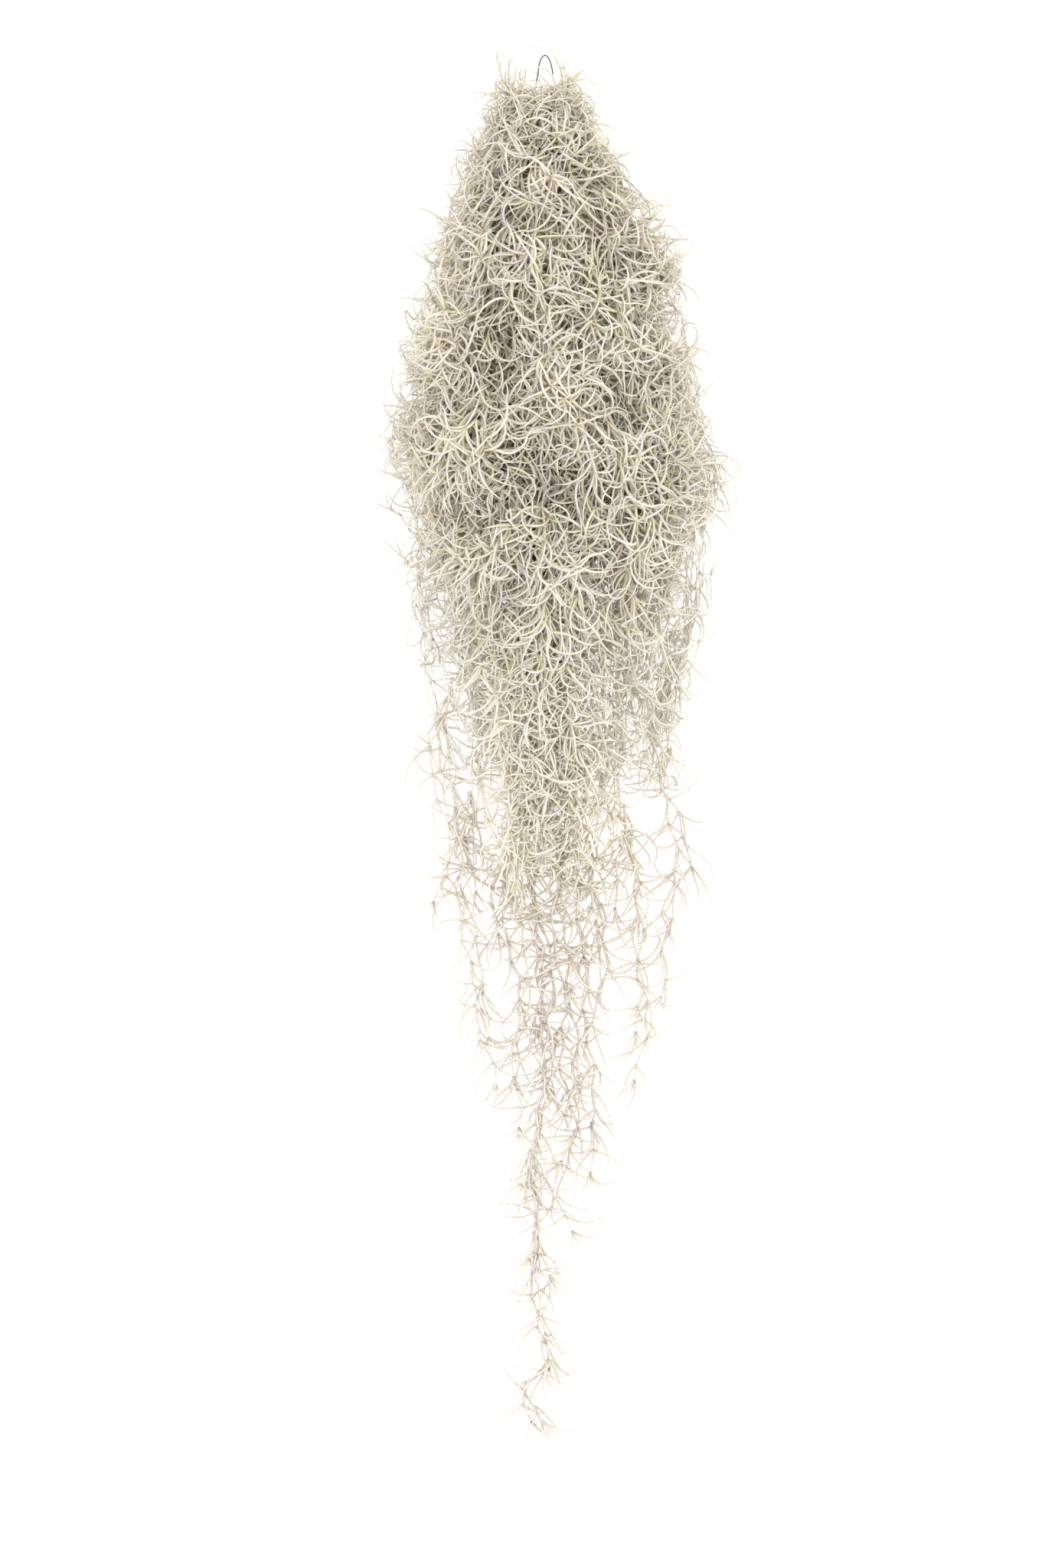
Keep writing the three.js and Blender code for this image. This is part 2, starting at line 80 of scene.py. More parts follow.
# Each trailing strand: where the lock of matted strands round its first part ends, and its way from inside
# the mass to its tip, as (x, down, height) of the stem. These are the ways of the CAD model's strands.
STRANDS = {
    "far_left": (470, [(-50, 380, 40), (-67, 440, 24), (-75, 490, 12), (-68, 540, 8), (-70, 580, 7),
                       (-76, 606, 6)]),
    "left": (545, [(-36, 440, 32), (-50, 510, 17), (-58, 570, 9), (-57, 620, 7), (-49, 655, 7),
                   (-48, 695, 7), (-35, 740, 6)]),
    "inner_left": (575, [(-20, 470, 26), (-28, 550, 14), (-26, 610, 9), (-20, 680, 8), (-16, 725, 7),
                         (-19, 772, 6)]),
    "longest": (600, [(-4, 480, 27), (-6, 570, 14), (-4, 640, 10), (-1, 690, 9), (-1, 765, 9),
                      (-7, 830, 8), (-6, 925, 8), (5, 945, 7), (-12, 967, 6), (0, 988, 5)]),
    "middle": (570, [(12, 470, 30), (10, 545, 22), (13, 610, 15), (16, 680, 11), (14, 740, 9), (21, 785, 9),
                     (12, 823, 8), (20, 848, 6)]),
    "inner_right": (585, [(24, 470, 26), (34, 560, 14), (37, 620, 9), (33, 680, 8), (31, 725, 8),
                          (38, 765, 7), (37, 805, 6)]),
    "right": (560, [(40, 450, 32), (56, 525, 17), (64, 590, 10), (70, 650, 8), (73, 700, 7), (66, 737, 6)]),
    "outer_right": (510, [(56, 410, 38), (80, 475, 22), (91, 530, 12), (94, 580, 8), (88, 612, 7),
                          (92, 640, 7), (86, 676, 6)]),
}

TIE_DOWN, TIE_RADIUS, TIE_LIFT = 43.0, 17.9, 30.0
TIE_STEPS = 120
WIRE_RADIUS = 0.5
WIRE_SIDES = 10
WIRE_STEP = 0.8
EYE_WAY = [(-TIE_RADIUS, TIE_DOWN), (-17.6, 35), (-14.5, 26), (-8.5, 15), (-5.6, 5), (-4.4, -4),
           (-2.6, -9), (0, -11), (2.8, -8.5), (4.9, -2), (6.2, 6), (9.2, 15), (14.5, 26), (17.6, 35),
           (TIE_RADIUS, TIE_DOWN)]

# ---------------------------------------------------------------- how the moss grows

NODE_SPACING = 18.0  # between the joints of a stem
LEAF_RADIUS = 1.16
LEAF_PROFILE = np.array([0.8, 1.0, 0.99, 0.93, 0.86, 0.77, 0.66, 0.52, 0.33, 0.0])  # from root to tip
TRAILING_PROFILE = np.array([1.0, 1.0, 0.96, 0.9, 0.83, 0.74, 0.64, 0.52, 0.37, 0.0])
LEAF_STEPS = len(LEAF_PROFILE) - 1
LEAF_SIDES = 3

# For each kind of strand: its leaves' lengths, their curls in radians, their size against LEAF_RADIUS, and
# the radius of its stem.
HABITS = {
    "mass": ((30, 54), (1.5, 4.3), 1.04, 0.6),
    "head": ((26, 48), (1.6, 4.4), 0.95, 0.6),
    "fall": ((25, 48), (1.2, 4.0), 1.0, 0.7),
    "fringe": ((25, 48), (1.2, 4.0), 0.86, 0.7),
    "lock": ((25, 44), (1.4, 4.2), 0.92, 0.7),
    "right_wisp": ((25, 44), (1.2, 4.0), 0.86, 0.7),
    "trailing": ((23, 45), (0.7, 2.7), 1.06, 1.4),
}

# A joint's leaves.
UNEVEN = 0.5  # radians by which a leaf misses its place in an even star
LEAF_SIZES = (0.82, 1.12)  # of the strand's own size
JOINT_TONES, LEAF_TONES = 0.1, 0.07  # how much tones differ from joint to joint, and within a joint
BENDS = [1, 1, 1, -0.6]  # one leaf in four bends the other way
FALLING_LEAN = (1.5, 4.0)  # along the stem, of a leaf that hangs
FALLING_LENGTH = 1.2

# A leaf's curl.
CURLS_TRIED = 5
TWIST = 1.4
TURN_BACK = (0.35, 0.7)  # where on its way a leaf may turn back
NO_TURN_BACK = 2.0  # past its tip
CURL_AT_ROOT, CURL_GAIN = 0.6, 0.8
SPREAD = 1.0  # how far every leaf may stand out past the outline
LOOSE_SPREAD, LOOSE_POWER = 18, 1.6  # how much further the loosest leaves may
RISE = 15.0  # how far leaves may stand above the outline's top
RAGGED = 24  # how far short of the head's edge some leaves stop
LOW = 2.0  # leaves below this are pressed flat
LOW_COST, END_COST, INWARD_COST = 0.6, 4, 0.25
INWARD_FREE = 8  # how far a leaf may turn inwards at no cost
LUCK = 6  # how much worse a curl than the best may still be kept

STEM_SIDES = 3
STEM_STEPS = 40
STEM_STEP = 4.0
STEM_TAPER = np.array([(0, 1), (0.8, 0.9), (0.97, 0.7), (1, 0)], float)

# ---------------------------------------------------------------- small helpers


def unit(v):
    return v / np.maximum(np.linalg.norm(v, axis=-1, keepdims=True), 1e-9)


def turned(v, axis, angle):
    """Vectors turned about unit axes (Rodrigues)."""
    c, s = np.cos(angle)[..., None], np.sin(angle)[..., None]
    along = (v * axis).sum(-1, keepdims=True)
    return v * c + np.cross(axis, v) * s + axis * along * (1 - c)


def looked_up(table, at, column=1):
    """A table's column at places along its first column."""
    return np.interp(at, table[:, 0], table[:, column])


def fade(value, low, high):
    """0 up to low, 1 from high on, and even in between."""
    return np.clip((value - low) / (high - low), 0, 1)


def outline_at(down):
    """Left edge, right edge and top of the mass at each distance down."""
    return [looked_up(OUTLINE, down, column) for column in (1, 2, 3)]


def section_point(down, angle, share):
    """A place in the mass's cross-section: angle from straight up, share of the way from middle to edge."""
    left, right, top = outline_at(down)
    inset = looked_up(INSET, down)
    half = np.maximum((right - left) / 2 - inset, LEAST_HALF)
    middle = (left + right) / 2
    waist = WAIST * top
    up = np.maximum(top - inset * TOP_INSET - waist, LEAST_UP)
    lower = np.maximum(waist - LOWEST_JOINT, LEAST_BELOW)
    x = middle + half * share * np.sin(angle)
    z = waist + np.where(np.cos(angle) > 0, up, lower) * share * np.cos(angle)
    return np.stack([x, HEAD_Y - down, z], -1)


def sway(down, widths):
    """A slow swing from side to side on the way down."""
    return rng.uniform(*widths) * np.sin(down / rng.uniform(20, 45) + rng.uniform(0, 6))


def smooth_way(points, spacing):
    """Points at even spacing on a smooth curve through points."""
    points = np.asarray(points, float)
    ends = np.vstack([2 * points[0] - points[1], points, 2 * points[-1] - points[-2]])
    steps = 24
    fine = []
    for i in range(1, len(ends) - 2):
        a, b, c, d = ends[i - 1:i + 3]
        t = np.linspace(0, 1, steps, endpoint=False)[:, None]
        square, cube = 2 * a - 5 * b + 4 * c - d, 3 * b - a - 3 * c + d
        fine.append(0.5 * (2 * b + (c - a) * t + square * t ** 2 + cube * t ** 3))
    fine = np.vstack(fine + [ends[-2:-1]])
    run = np.concatenate([[0], np.cumsum(np.linalg.norm(np.diff(fine, axis=0), axis=1))])
    at = np.linspace(0, run[-1], max(2, round(run[-1] / spacing) + 1))
    return np.stack([np.interp(at, run, fine[:, k]) for k in range(3)], -1)


# ---------------------------------------------------------------- growing


class Growth:
    """Leaves and stems gathered before they become meshes."""

    def __init__(self, waves=0.5, kind="mass"):
        self.waves = waves  # share of the leaves that turn back once
        self.roots, self.ways, self.outs, self.bends = [], [], [], []
        self.length, self.curl, self.size, self.tone = [], [], [], []
        self.stems = []
        self.kinds, self.kind = [], kind

    def node(self, place, along, out, count, lengths, curls, size, tone, lean, recurve, flat=1.0,
             falling=0.0):
        """Leaves radiating from one joint of a stem; a share of them, falling, hang along it instead."""
        side = unit(np.cross(along, out))
        first = rng.uniform(0, 2 * math.pi)
        node_tone = tone + rng.normal(0, JOINT_TONES)
        for k in range(count):
            angle = first + 2 * math.pi * k / count + rng.uniform(-UNEVEN, UNEVEN)
            away = math.cos(angle) * flat * out + math.sin(angle) * side
            falls = rng.uniform() < falling
            self.roots.append(place)
            self.ways.append(unit(away + along * rng.uniform(*(FALLING_LEAN if falls else lean))))
            self.bends.append(np.cross(along, away) * recurve * rng.choice(BENDS))
            self.outs.append(out)
            self.length.append(rng.uniform(*lengths) * (FALLING_LENGTH if falls else 1.0))
            self.curl.append(rng.uniform(*curls))
            self.size.append(size * rng.uniform(*LEAF_SIZES))
            self.tone.append(node_tone + rng.normal(0, LEAF_TONES))
            self.kinds.append(self.kind)

    def radii(self, profile):
        """The radius of each leaf at the points of its line."""
        return profile * (LEAF_RADIUS * np.array(self.size))[:, None]


def leaf_lines(growth, tries=CURLS_TRIED):
    """The line of each leaf: a curl in space. Of a few tried, the one that keeps best to the bunch stays."""
    roots, ways, outs, bends = (np.array(v) for v in (growth.roots, growth.ways, growth.outs, growth.bends))
    length, curl = np.array(growth.length), np.array(growth.curl)
    n = len(roots)
    ragged = rng.uniform(0, RAGGED, (n, 1)) ** 2 / RAGGED
    spread = SPREAD + LOOSE_SPREAD * rng.uniform(0, 1, (n, 1)) ** LOOSE_POWER
    best, best_cost = None, None
    for _ in range(tries):
        axis = bends + unit(rng.normal(size=(n, 3)))
        axis = unit(axis - ways * (axis * ways).sum(-1, keepdims=True))
        twist = rng.uniform(-TWIST, TWIST, n)
        turns_back = np.where(rng.uniform(size=n) < growth.waves, rng.uniform(*TURN_BACK, n), NO_TURN_BACK)
        here, ahead = roots.copy(), ways.copy()
        line = [here]
        for k in range(LEAF_STEPS):
            here = here + ahead * (length / LEAF_STEPS)[:, None]
            line.append(here)
            t = (k + 1) / LEAF_STEPS
            share = (CURL_AT_ROOT + CURL_GAIN * t) / LEAF_STEPS * np.where(t > turns_back, -1.0, 1.0)
            ahead = turned(ahead, axis, curl * share)
            axis = turned(axis, ahead, twist / LEAF_STEPS)
        line = np.stack(line, 1)
        cost = curl_cost(line, roots, outs, spread, ragged) + rng.uniform(0, LUCK, n)
        if best is None:
            best, best_cost = line, cost
        else:
            better = cost < best_cost
            best[better], best_cost[better] = line[better], cost[better]
    return best


def curl_cost(line, roots, outs, spread, ragged):
    """How far each leaf strays: past the outline, into the floor, past the bunch's ends or into the mass."""
    x, y, z = line[..., 0], line[..., 1], line[..., 2]
    left, right, top = outline_at(HEAD_Y - y)
    cost = np.maximum(left - spread - x, 0) + np.maximum(x - right - spread, 0)
    cost = cost + np.maximum(z - top - RISE, 0) + LOW_COST * np.maximum(LOW - z, 0)
    edge = HEAD_Y - looked_up(HEAD_EDGE, x) - ragged
    cost = cost + END_COST * np.maximum(y - edge, 0) + END_COST * np.maximum(HEAD_Y - MOSS_LENGTH - y, 0)
    inward = -((line - roots[:, None]) * outs[:, None]).sum(-1).min(1)
    return cost.max(1) + INWARD_COST * np.maximum(inward - INWARD_FREE, 0)


# ---------------------------------------------------------------- meshes

SIDE_TONE = 0.0015  # from side to side of a tube
LEAST_TONE, MOST_TONE = 0.01, 0.98
MAP_EDGE, MAP_WIDTH, MAP_HEIGHT = 0.004, 0.992, 0.99
CAP_LIFT = 0.003  # keeps the root's cap off the first ring in the map


def tube_faces(k, sides):
    """The corners and face sizes of one tube of k - 1 rings and a tip."""
    tip = (k - 1) * sides
    quads, tris = [], []
    for j in range(k - 2):
        for s in range(sides):
            a, b = j * sides + s, j * sides + (s + 1) % sides
            quads.append((a, b, b + sides, a + sides))
    for s in range(sides):
        a, b = (k - 2) * sides + s, (k - 2) * sides + (s + 1) % sides
        tris.append((a, b, tip))
    cap = [tuple(range(sides))[::-1]]
    loops = np.concatenate([np.ravel(quads), np.ravel(tris), np.ravel(cap)]).astype(np.int32)
    return loops, np.array([4] * len(quads) + [3] * len(tris) + [sides], np.int32)


def tubes(name, lines, radii, tones, sides, material, mapped=True):
    """Pointed tubes along lines (n, k, 3), as one mesh with tone and along on its points and strip UVs."""
    n, k = lines.shape[:2]
    lines = lines.copy()
    lines[..., 2] = np.maximum(lines[..., 2], radii + FLOOR_CLEAR)
    ahead = unit(np.gradient(lines, axis=1))
    side = np.empty_like(ahead)
    start = np.where(np.abs(ahead[:, 0, 2:3]) < 0.9, [[0.0, 0.0, 1.0]], [[1.0, 0.0, 0.0]])
    side[:, 0] = unit(np.cross(ahead[:, 0], start))
    for j in range(1, k):
        last, now = side[:, j - 1], ahead[:, j]
        side[:, j] = unit(last - now * (last * now).sum(-1, keepdims=True))
    other = np.cross(ahead, side)
    angle = np.arange(sides) * 2 * math.pi / sides
    ring = (side[:, :-1, None] * np.cos(angle)[:, None] + other[:, :-1, None] * np.sin(angle)[:, None])
    ring = lines[:, :-1, None] + ring * radii[:, :-1, None, None]
    verts = np.concatenate([ring.reshape(n, -1, 3), lines[:, -1:, :]], 1)
    per = verts.shape[1]
    loops, totals = tube_faces(k, sides)
    first = np.arange(n, dtype=np.int32)[:, None] * per
    all_loops = (first + loops).ravel()
    all_totals = np.tile(totals, n)
    starts = np.concatenate([[0], np.cumsum(all_totals)[:-1]]).astype(np.int32)

    mesh = bpy.data.meshes.new(name)
    mesh.vertices.add(n * per)
    mesh.vertices.foreach_set("co", (verts * MM).astype(np.float32).ravel())
    mesh.loops.add(len(all_loops))
    mesh.loops.foreach_set("vertex_index", all_loops)
    mesh.polygons.add(len(all_totals))
    mesh.polygons.foreach_set("loop_start", starts)
    mesh.polygons.foreach_set("loop_total", all_totals)
    mesh.polygons.foreach_set("use_smooth", np.ones(len(all_totals), bool))

    # A colour depends on tone and along alone, as the map does, so faces that share a place in it match.
    run = np.arange(k) / (k - 1)
    along = np.tile(np.concatenate([np.repeat(run[:-1], sides), [1.0]]), n)
    around = np.tile(np.concatenate([np.tile(np.arange(sides), k - 1), [0]]), n)
    tone = np.repeat(np.clip(tones, LEAST_TONE, MOST_TONE), per) + around * SIDE_TONE
    mesh.attributes.new("tone", "FLOAT", "POINT").data.foreach_set("value", tone.astype(np.float32))
    mesh.attributes.new("along", "FLOAT", "POINT").data.foreach_set("value", along.astype(np.float32))
    if mapped:
        spread = (tone - tone.min()) / max(np.ptp(tone), 1e-6)
        uv = np.stack([MAP_EDGE + MAP_WIDTH * spread, MAP_EDGE + MAP_HEIGHT * along], -1)[all_loops]
        cap_loops = len(loops) - sides + np.arange(n)[:, None] * len(loops)
        uv[cap_loops.ravel(), 1] += CAP_LIFT
        mesh.uv_layers.new(name="OFBake").data.foreach_set("uv", uv.astype(np.float32).ravel())
    mesh.validate()
    mesh.update()
    piece = bpy.data.objects.new(name, mesh)
    bpy.context.collection.objects.link(piece)
    piece.data.materials.append(material)
    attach(piece, "root")
    return piece


def stem_piece(name, stems, material):
    """Stems of many lengths as one mesh, each resampled to the same number of steps."""
    lines, radii, tones = [], [], []
    for places, radius, tone in stems:
        fine = smooth_way(places, STEM_STEP)
        at = np.linspace(0, len(fine) - 1, STEM_STEPS)
        lines.append(np.stack([np.interp(at, np.arange(len(fine)), fine[:, k]) for k in range(3)], -1))
        radii.append(looked_up(STEM_TAPER, np.linspace(0, 1, STEM_STEPS)) * radius)
        tones.append(tone)
    return tubes(name, np.array(lines), np.array(radii), np.array(tones), STEM_SIDES, material)


# ---------------------------------------------------------------- materials


def nodes_of(name):
    """A new material with its node tree and its shader."""
    material = bpy.data.materials.new(name)
    material.use_nodes = True
    tree = material.node_tree
    return material, tree, tree.nodes["Principled BSDF"]


def attribute(tree, name):
    """The value that a mesh holds under this name."""
    node = tree.nodes.new("ShaderNodeAttribute")
    node.attribute_name = name
    return node.outputs["Fac"]


def noise(tree, vector, scale, detail):
    """A noise node that varies over a vector."""
    node = tree.nodes.new("ShaderNodeTexNoise")
    node.inputs["Scale"].default_value, node.inputs["Detail"].default_value = scale, detail
    tree.links.new(vector, node.inputs["Vector"])
    return node


def colour_ramp(tree, factor, stops):
    """The colour that a factor picks between (position, colour) stops."""
    node = tree.nodes.new("ShaderNodeValToRGB")
    while len(node.color_ramp.elements) < len(stops):
        node.color_ramp.elements.new(0.5)
    for element, (at, colour) in zip(node.color_ramp.elements, stops):
        element.position, element.color = at, (*colour, 1)
    tree.links.new(factor, node.inputs["Fac"])
    return node.outputs["Color"]


def stretched(tree, value, factor):
    """A value times a fixed factor."""
    node = tree.nodes.new("ShaderNodeMath")
    node.operation, node.inputs[1].default_value = "MULTIPLY", factor
    tree.links.new(value, node.inputs[0])
    return node.outputs[0]


def carried_over(tree, value, to_range, from_range=(0.0, 1.0)):
    """A value of one range as the same place in another."""
    node = tree.nodes.new("ShaderNodeMapRange")
    node.inputs["From Min"].default_value, node.inputs["From Max"].default_value = from_range
    node.inputs["To Min"].default_value, node.inputs["To Max"].default_value = to_range
    tree.links.new(value, node.inputs["Value"])
    return node.outputs[0]


def multiplied(tree, colour):
    """A node that multiplies a colour by its colour B, as far as its Factor says."""
    node = tree.nodes.new("ShaderNodeMix")
    node.data_type, node.blend_type = "RGBA", "MULTIPLY"
    tree.links.new(colour, node.inputs["A"])
    return node


def bumped(tree, shader, height, strength, distance, invert=False):
    """Gives the shader a fine relief."""
    node = tree.nodes.new("ShaderNodeBump")
    node.invert = invert
    node.inputs["Strength"].default_value, node.inputs["Distance"].default_value = strength, distance
    tree.links.new(height, node.inputs["Height"])
    tree.links.new(node.outputs[0], shader.inputs["Normal"])


TINT_STRETCH = 160.0  # over this many steps of noise the tones get different tints
ALONG_STRETCH = 2.2
SCALE_STRETCH = (1.0, 24.0, 1.0)  # the scales are this much finer along a leaf than the tints
GOLD_END = 0.3  # of the way from joint to tip
GOLD_STRENGTH = 0.62  # at the joint
FROST_NOISE, FROST_SHADES = (0.3, 0.7), (0.86, 1.1)
LEAF_ROUGHNESS = (0.6, 0.9)
LEAF_RELIEF, LEAF_RELIEF_DEPTH = 0.35, 0.0002
LEAF_SPECULAR = 0.35
LIGHT_THROUGH = (1.0, 0.95, 0.8)  # how far each colour goes through a leaf


def leaf_material(name, palette, golden, tints, see_through, reach=0.002):
    """Silvery leaf: its tone picks a colour, its joint is golden, and fine scales break up its surface."""
    material, tree, shader = nodes_of(name)
    new, link = tree.nodes.new, tree.links.new
    tone, along = attribute(tree, "tone"), attribute(tree, "along")
    place = new("ShaderNodeCombineXYZ")
    link(stretched(tree, tone, TINT_STRETCH), place.inputs["X"])
    link(stretched(tree, along, ALONG_STRETCH), place.inputs["Y"])

    hue = noise(tree, place.outputs[0], 1.0, 2.0)
    tinted = multiplied(tree, colour_ramp(tree, tone, palette))
    tinted.inputs["Factor"].default_value = 1.0
    link(colour_ramp(tree, hue.outputs["Fac"], tints), tinted.inputs["B"])

    gold = multiplied(tree, tinted.outputs["Result"])
    gold.inputs["B"].default_value = (*golden, 1)
    link(carried_over(tree, along, (GOLD_STRENGTH, 0.0), (0.0, GOLD_END)), gold.inputs["Factor"])

    fine_place = new("ShaderNodeVectorMath")
    fine_place.operation = "MULTIPLY"
    fine_place.inputs[1].default_value = SCALE_STRETCH
    link(place.outputs[0], fine_place.inputs[0])
    scales = noise(tree, fine_place.outputs[0], 1.0, 3.0).outputs["Fac"]
    speckled = new("ShaderNodeVectorMath")
    speckled.operation = "SCALE"
    link(gold.outputs["Result"], speckled.inputs[0])
    link(carried_over(tree, scales, FROST_SHADES, FROST_NOISE), speckled.inputs["Scale"])
    link(speckled.outputs[0], shader.inputs["Base Color"])

    link(carried_over(tree, scales, LEAF_ROUGHNESS), shader.inputs["Roughness"])
    bumped(tree, shader, scales, LEAF_RELIEF, LEAF_RELIEF_DEPTH)
    shader.inputs["Specular IOR Level"].default_value = LEAF_SPECULAR
    shader.inputs["Subsurface Weight"].default_value = see_through
    shader.inputs["Subsurface Scale"].default_value = reach
    shader.inputs["Subsurface Radius"].default_value = LIGHT_THROUGH
    return material


# Each leaf's colours run from the dimmest tone to the palest, and its tints from lavender to sage.
MOSS = leaf_material(
    "spanish_moss_leaf",
    [(0.0, (0.34, 0.29, 0.215)), (0.2, (0.74, 0.685, 0.58)), (0.38, (0.89, 0.843, 0.745)),
     (0.7, (0.865, 0.82, 0.728)), (1.0, (0.90, 0.86, 0.77))],
    golden=(0.97, 0.89, 0.66),
    tints=[(0.39, (0.92, 0.86, 0.94)), (0.47, (0.99, 0.95, 0.98)), (0.53, (1.0, 0.98, 0.84)),
           (0.61, (0.94, 0.96, 0.85))],
    see_through=0.3)
# A paler copy of the leaf for the fall and the lowest moss: partly their cream colour, partly painted light
# as if shining through the thin moss there.
FALL = leaf_material(
    "spanish_moss_fall_leaf",
    [(0.0, (0.74, 0.685, 0.565)), (0.4, (0.90, 0.845, 0.73)), (0.75, (0.945, 0.893, 0.785)),
     (1.0, (0.955, 0.91, 0.82))],
    golden=(0.97, 0.90, 0.68),
    tints=[(0.36, (0.96, 0.92, 0.95)), (0.46, (1.0, 0.98, 0.98)), (0.53, (1.0, 0.99, 0.92)),
           (0.61, (0.97, 0.98, 0.92))],
    see_through=0.35, reach=0.0015)
FRINGE = leaf_material(
    "spanish_moss_fringe_leaf",
    [(0.0, (0.50, 0.46, 0.39)), (0.3, (0.71, 0.675, 0.60)), (0.65, (0.83, 0.795, 0.71)),
     (1.0, (0.92, 0.87, 0.77))],
    golden=(0.98, 0.94, 0.84),
    tints=[(0.39, (0.96, 0.94, 0.99)), (0.47, (1.0, 0.985, 1.0)), (0.53, (1.0, 1.0, 0.96)),
           (0.61, (0.97, 0.985, 0.95))],
    see_through=0.5)
TRAILING = leaf_material(
    "spanish_moss_trailing_leaf",
    [(0.0, (0.65, 0.60, 0.535)), (0.35, (0.77, 0.715, 0.65)), (0.7, (0.84, 0.785, 0.715)),
     (1.0, (0.89, 0.84, 0.77))],
    golden=(0.98, 0.94, 0.85),
    tints=[(0.36, (0.96, 0.93, 0.93)), (0.46, (1.0, 0.98, 0.97)), (0.62, (1.0, 1.0, 0.96))],
    see_through=0.5)

MAT_SWIRL = 0.05  # how much noise bends the matted strands
MAT_STRANDS = 150.0  # how fine they are
# painted shade: the core's colours run near black, as the depth of the mass looks
MAT_SHADE_COLOURS = [(0.03, (0.52, 0.47, 0.34)), (0.2, (0.11, 0.09, 0.055))]
MAT_RELIEF, MAT_RELIEF_DEPTH = 0.8, 0.002
WIRE_COLOURS = [(0.35, (0.05, 0.042, 0.055)), (0.7, (0.18, 0.155, 0.19))]
WIRE_ROUGHNESS = (0.35, 0.65)


def matted_shade_material():
    """The matted strands deep inside the mass, painted near black as the shade deep inside it."""
    material, tree, shader = nodes_of("matted_moss_shade")
    new, link = tree.nodes.new, tree.links.new
    place = new("ShaderNodeTexCoord")
    bend = noise(tree, place.outputs["Object"], 45.0, 2.0)
    swirl = new("ShaderNodeMix")
    swirl.data_type, swirl.inputs["Factor"].default_value = "VECTOR", MAT_SWIRL
    link(place.outputs["Object"], swirl.inputs["A"])
    link(bend.outputs["Color"], swirl.inputs["B"])
    strands = new("ShaderNodeTexVoronoi")
    strands.feature, strands.inputs["Scale"].default_value = "DISTANCE_TO_EDGE", MAT_STRANDS
    link(swirl.outputs["Result"], strands.inputs["Vector"])
    link(colour_ramp(tree, strands.outputs["Distance"], MAT_SHADE_COLOURS), shader.inputs["Base Color"])
    bumped(tree, shader, strands.outputs["Distance"], MAT_RELIEF, MAT_RELIEF_DEPTH, invert=True)
    shader.inputs["Roughness"].default_value = 0.9
    return material


def wire_material():
    """Dull dark wire, a little uneven."""
    material, tree, shader = nodes_of("hanging_wire_steel")
    place = tree.nodes.new("ShaderNodeTexCoord")
    uneven = noise(tree, place.outputs["Object"], 600.0, 4.0).outputs["Fac"]
    tree.links.new(colour_ramp(tree, uneven, WIRE_COLOURS), shader.inputs["Base Color"])
    tree.links.new(carried_over(tree, uneven, WIRE_ROUGHNESS), shader.inputs["Roughness"])
    shader.inputs["Metallic"].default_value = 0.2
    return material


# ---------------------------------------------------------------- the strands of the mass

STAR_SHARE = 0.11  # of the mass's joints have the end of a shoot beside them, which is seen as a star
STAR_LEAVES = 5
STAR_AWAY = 9  # from the joint
STAR_LENGTHS, STAR_CURLS, STAR_SIZE = (18, 36), (0.3, 2.0), 1.05
STAR_PALER, PALEST = 0.12, 0.98
STAR_LEAN, STAR_RECURVE = (-0.1, 0.8), 0.5
STAR_ACROSS = [0.3, 0.1, 1]  # a star's sideways direction is square to this and to its shoot
MASS_FALLING, FALLING_GAIN = 0.28, 0.2  # share of the leaves that hang, and how much it grows on the way down
LOOSE_FALLING = 0.15
MASS_LEAN, LOOSE_LEAN, LEAN_GAIN = (-0.7, 1.9), (-0.5, 1.7), 0.3  # along the stem
MASS_RECURVE, LOOSE_RECURVE = (-0.4, 0.6), (-0.4, 1.3)
LOOSE_FLAT = 0.5  # trailing strands are flatter than they are wide


def grow_strand(growth, places, outs, tones, counts, lengths, curls, size, stem_radius, mass=True):
    """One strand: its stem through its joints, and the leaves of each."""
    along = unit(np.gradient(places, axis=0))
    for i in range(1, len(places)):
        if counts[i]:
            low_down = float(fade(HEAD_Y - places[i][1], 240, 400))
            lean = [end + LEAN_GAIN * low_down for end in MASS_LEAN] if mass else LOOSE_LEAN
            recurve = rng.uniform(*(MASS_RECURVE if mass else LOOSE_RECURVE))
            in_mass = mass and growth.kind == "mass"
            falling = MASS_FALLING + FALLING_GAIN * low_down if in_mass else LOOSE_FALLING
            growth.node(places[i], along[i], outs[i], counts[i], lengths, curls, size, tones[i], lean,
                        recurve, 1.0 if mass else LOOSE_FLAT, falling)
            if mass and low_down < 0.8 and rng.uniform() < STAR_SHARE:
                ahead = unit(outs[i] + 0.5 * along[i] + 0.5 * rng.normal(size=3))
                growth.node(places[i] + STAR_AWAY * ahead, ahead, unit(np.cross(ahead, STAR_ACROSS)),
                            STAR_LEAVES, STAR_LENGTHS, STAR_CURLS, STAR_SIZE * size,
                            min(tones[i] + STAR_PALER, PALEST), STAR_LEAN, STAR_RECURVE)
    growth.stems.append((places, stem_radius, float(np.mean(tones)), growth.kind))


# Waves over the mass's surface: their length, heading and phase.
WAVES = [(rng.uniform(45, 95), rng.uniform(0, math.pi), rng.uniform(0, 2 * math.pi)) for _ in range(9)]
WAVE_RADIUS = 75  # of the mass, roughly, to measure the waves round it
WAVE_SUM = 2.1
FALLS_DEPTH, FALLS_ROUND = 1.3, 8  # the low end's falls of strands: how deep, and how many round the mass


def lump(angle, down):
    """Low and high places of the bunch's surface, about -1 to 1: clumps with gaps between, dark from their
    depth and from painted shade.
    """
    total = 0.0
    for length, heading, phase in WAVES:
        run = WAVE_RADIUS * angle * math.cos(heading) + down * math.sin(heading)
        total = total + np.sin(2 * math.pi * run / length + phase)
    falls = FALLS_DEPTH * np.cos(FALLS_ROUND * angle + 0.7 * np.sin(down / 70)) * fade(down, 290, 370)
    return total / WAVE_SUM + falls


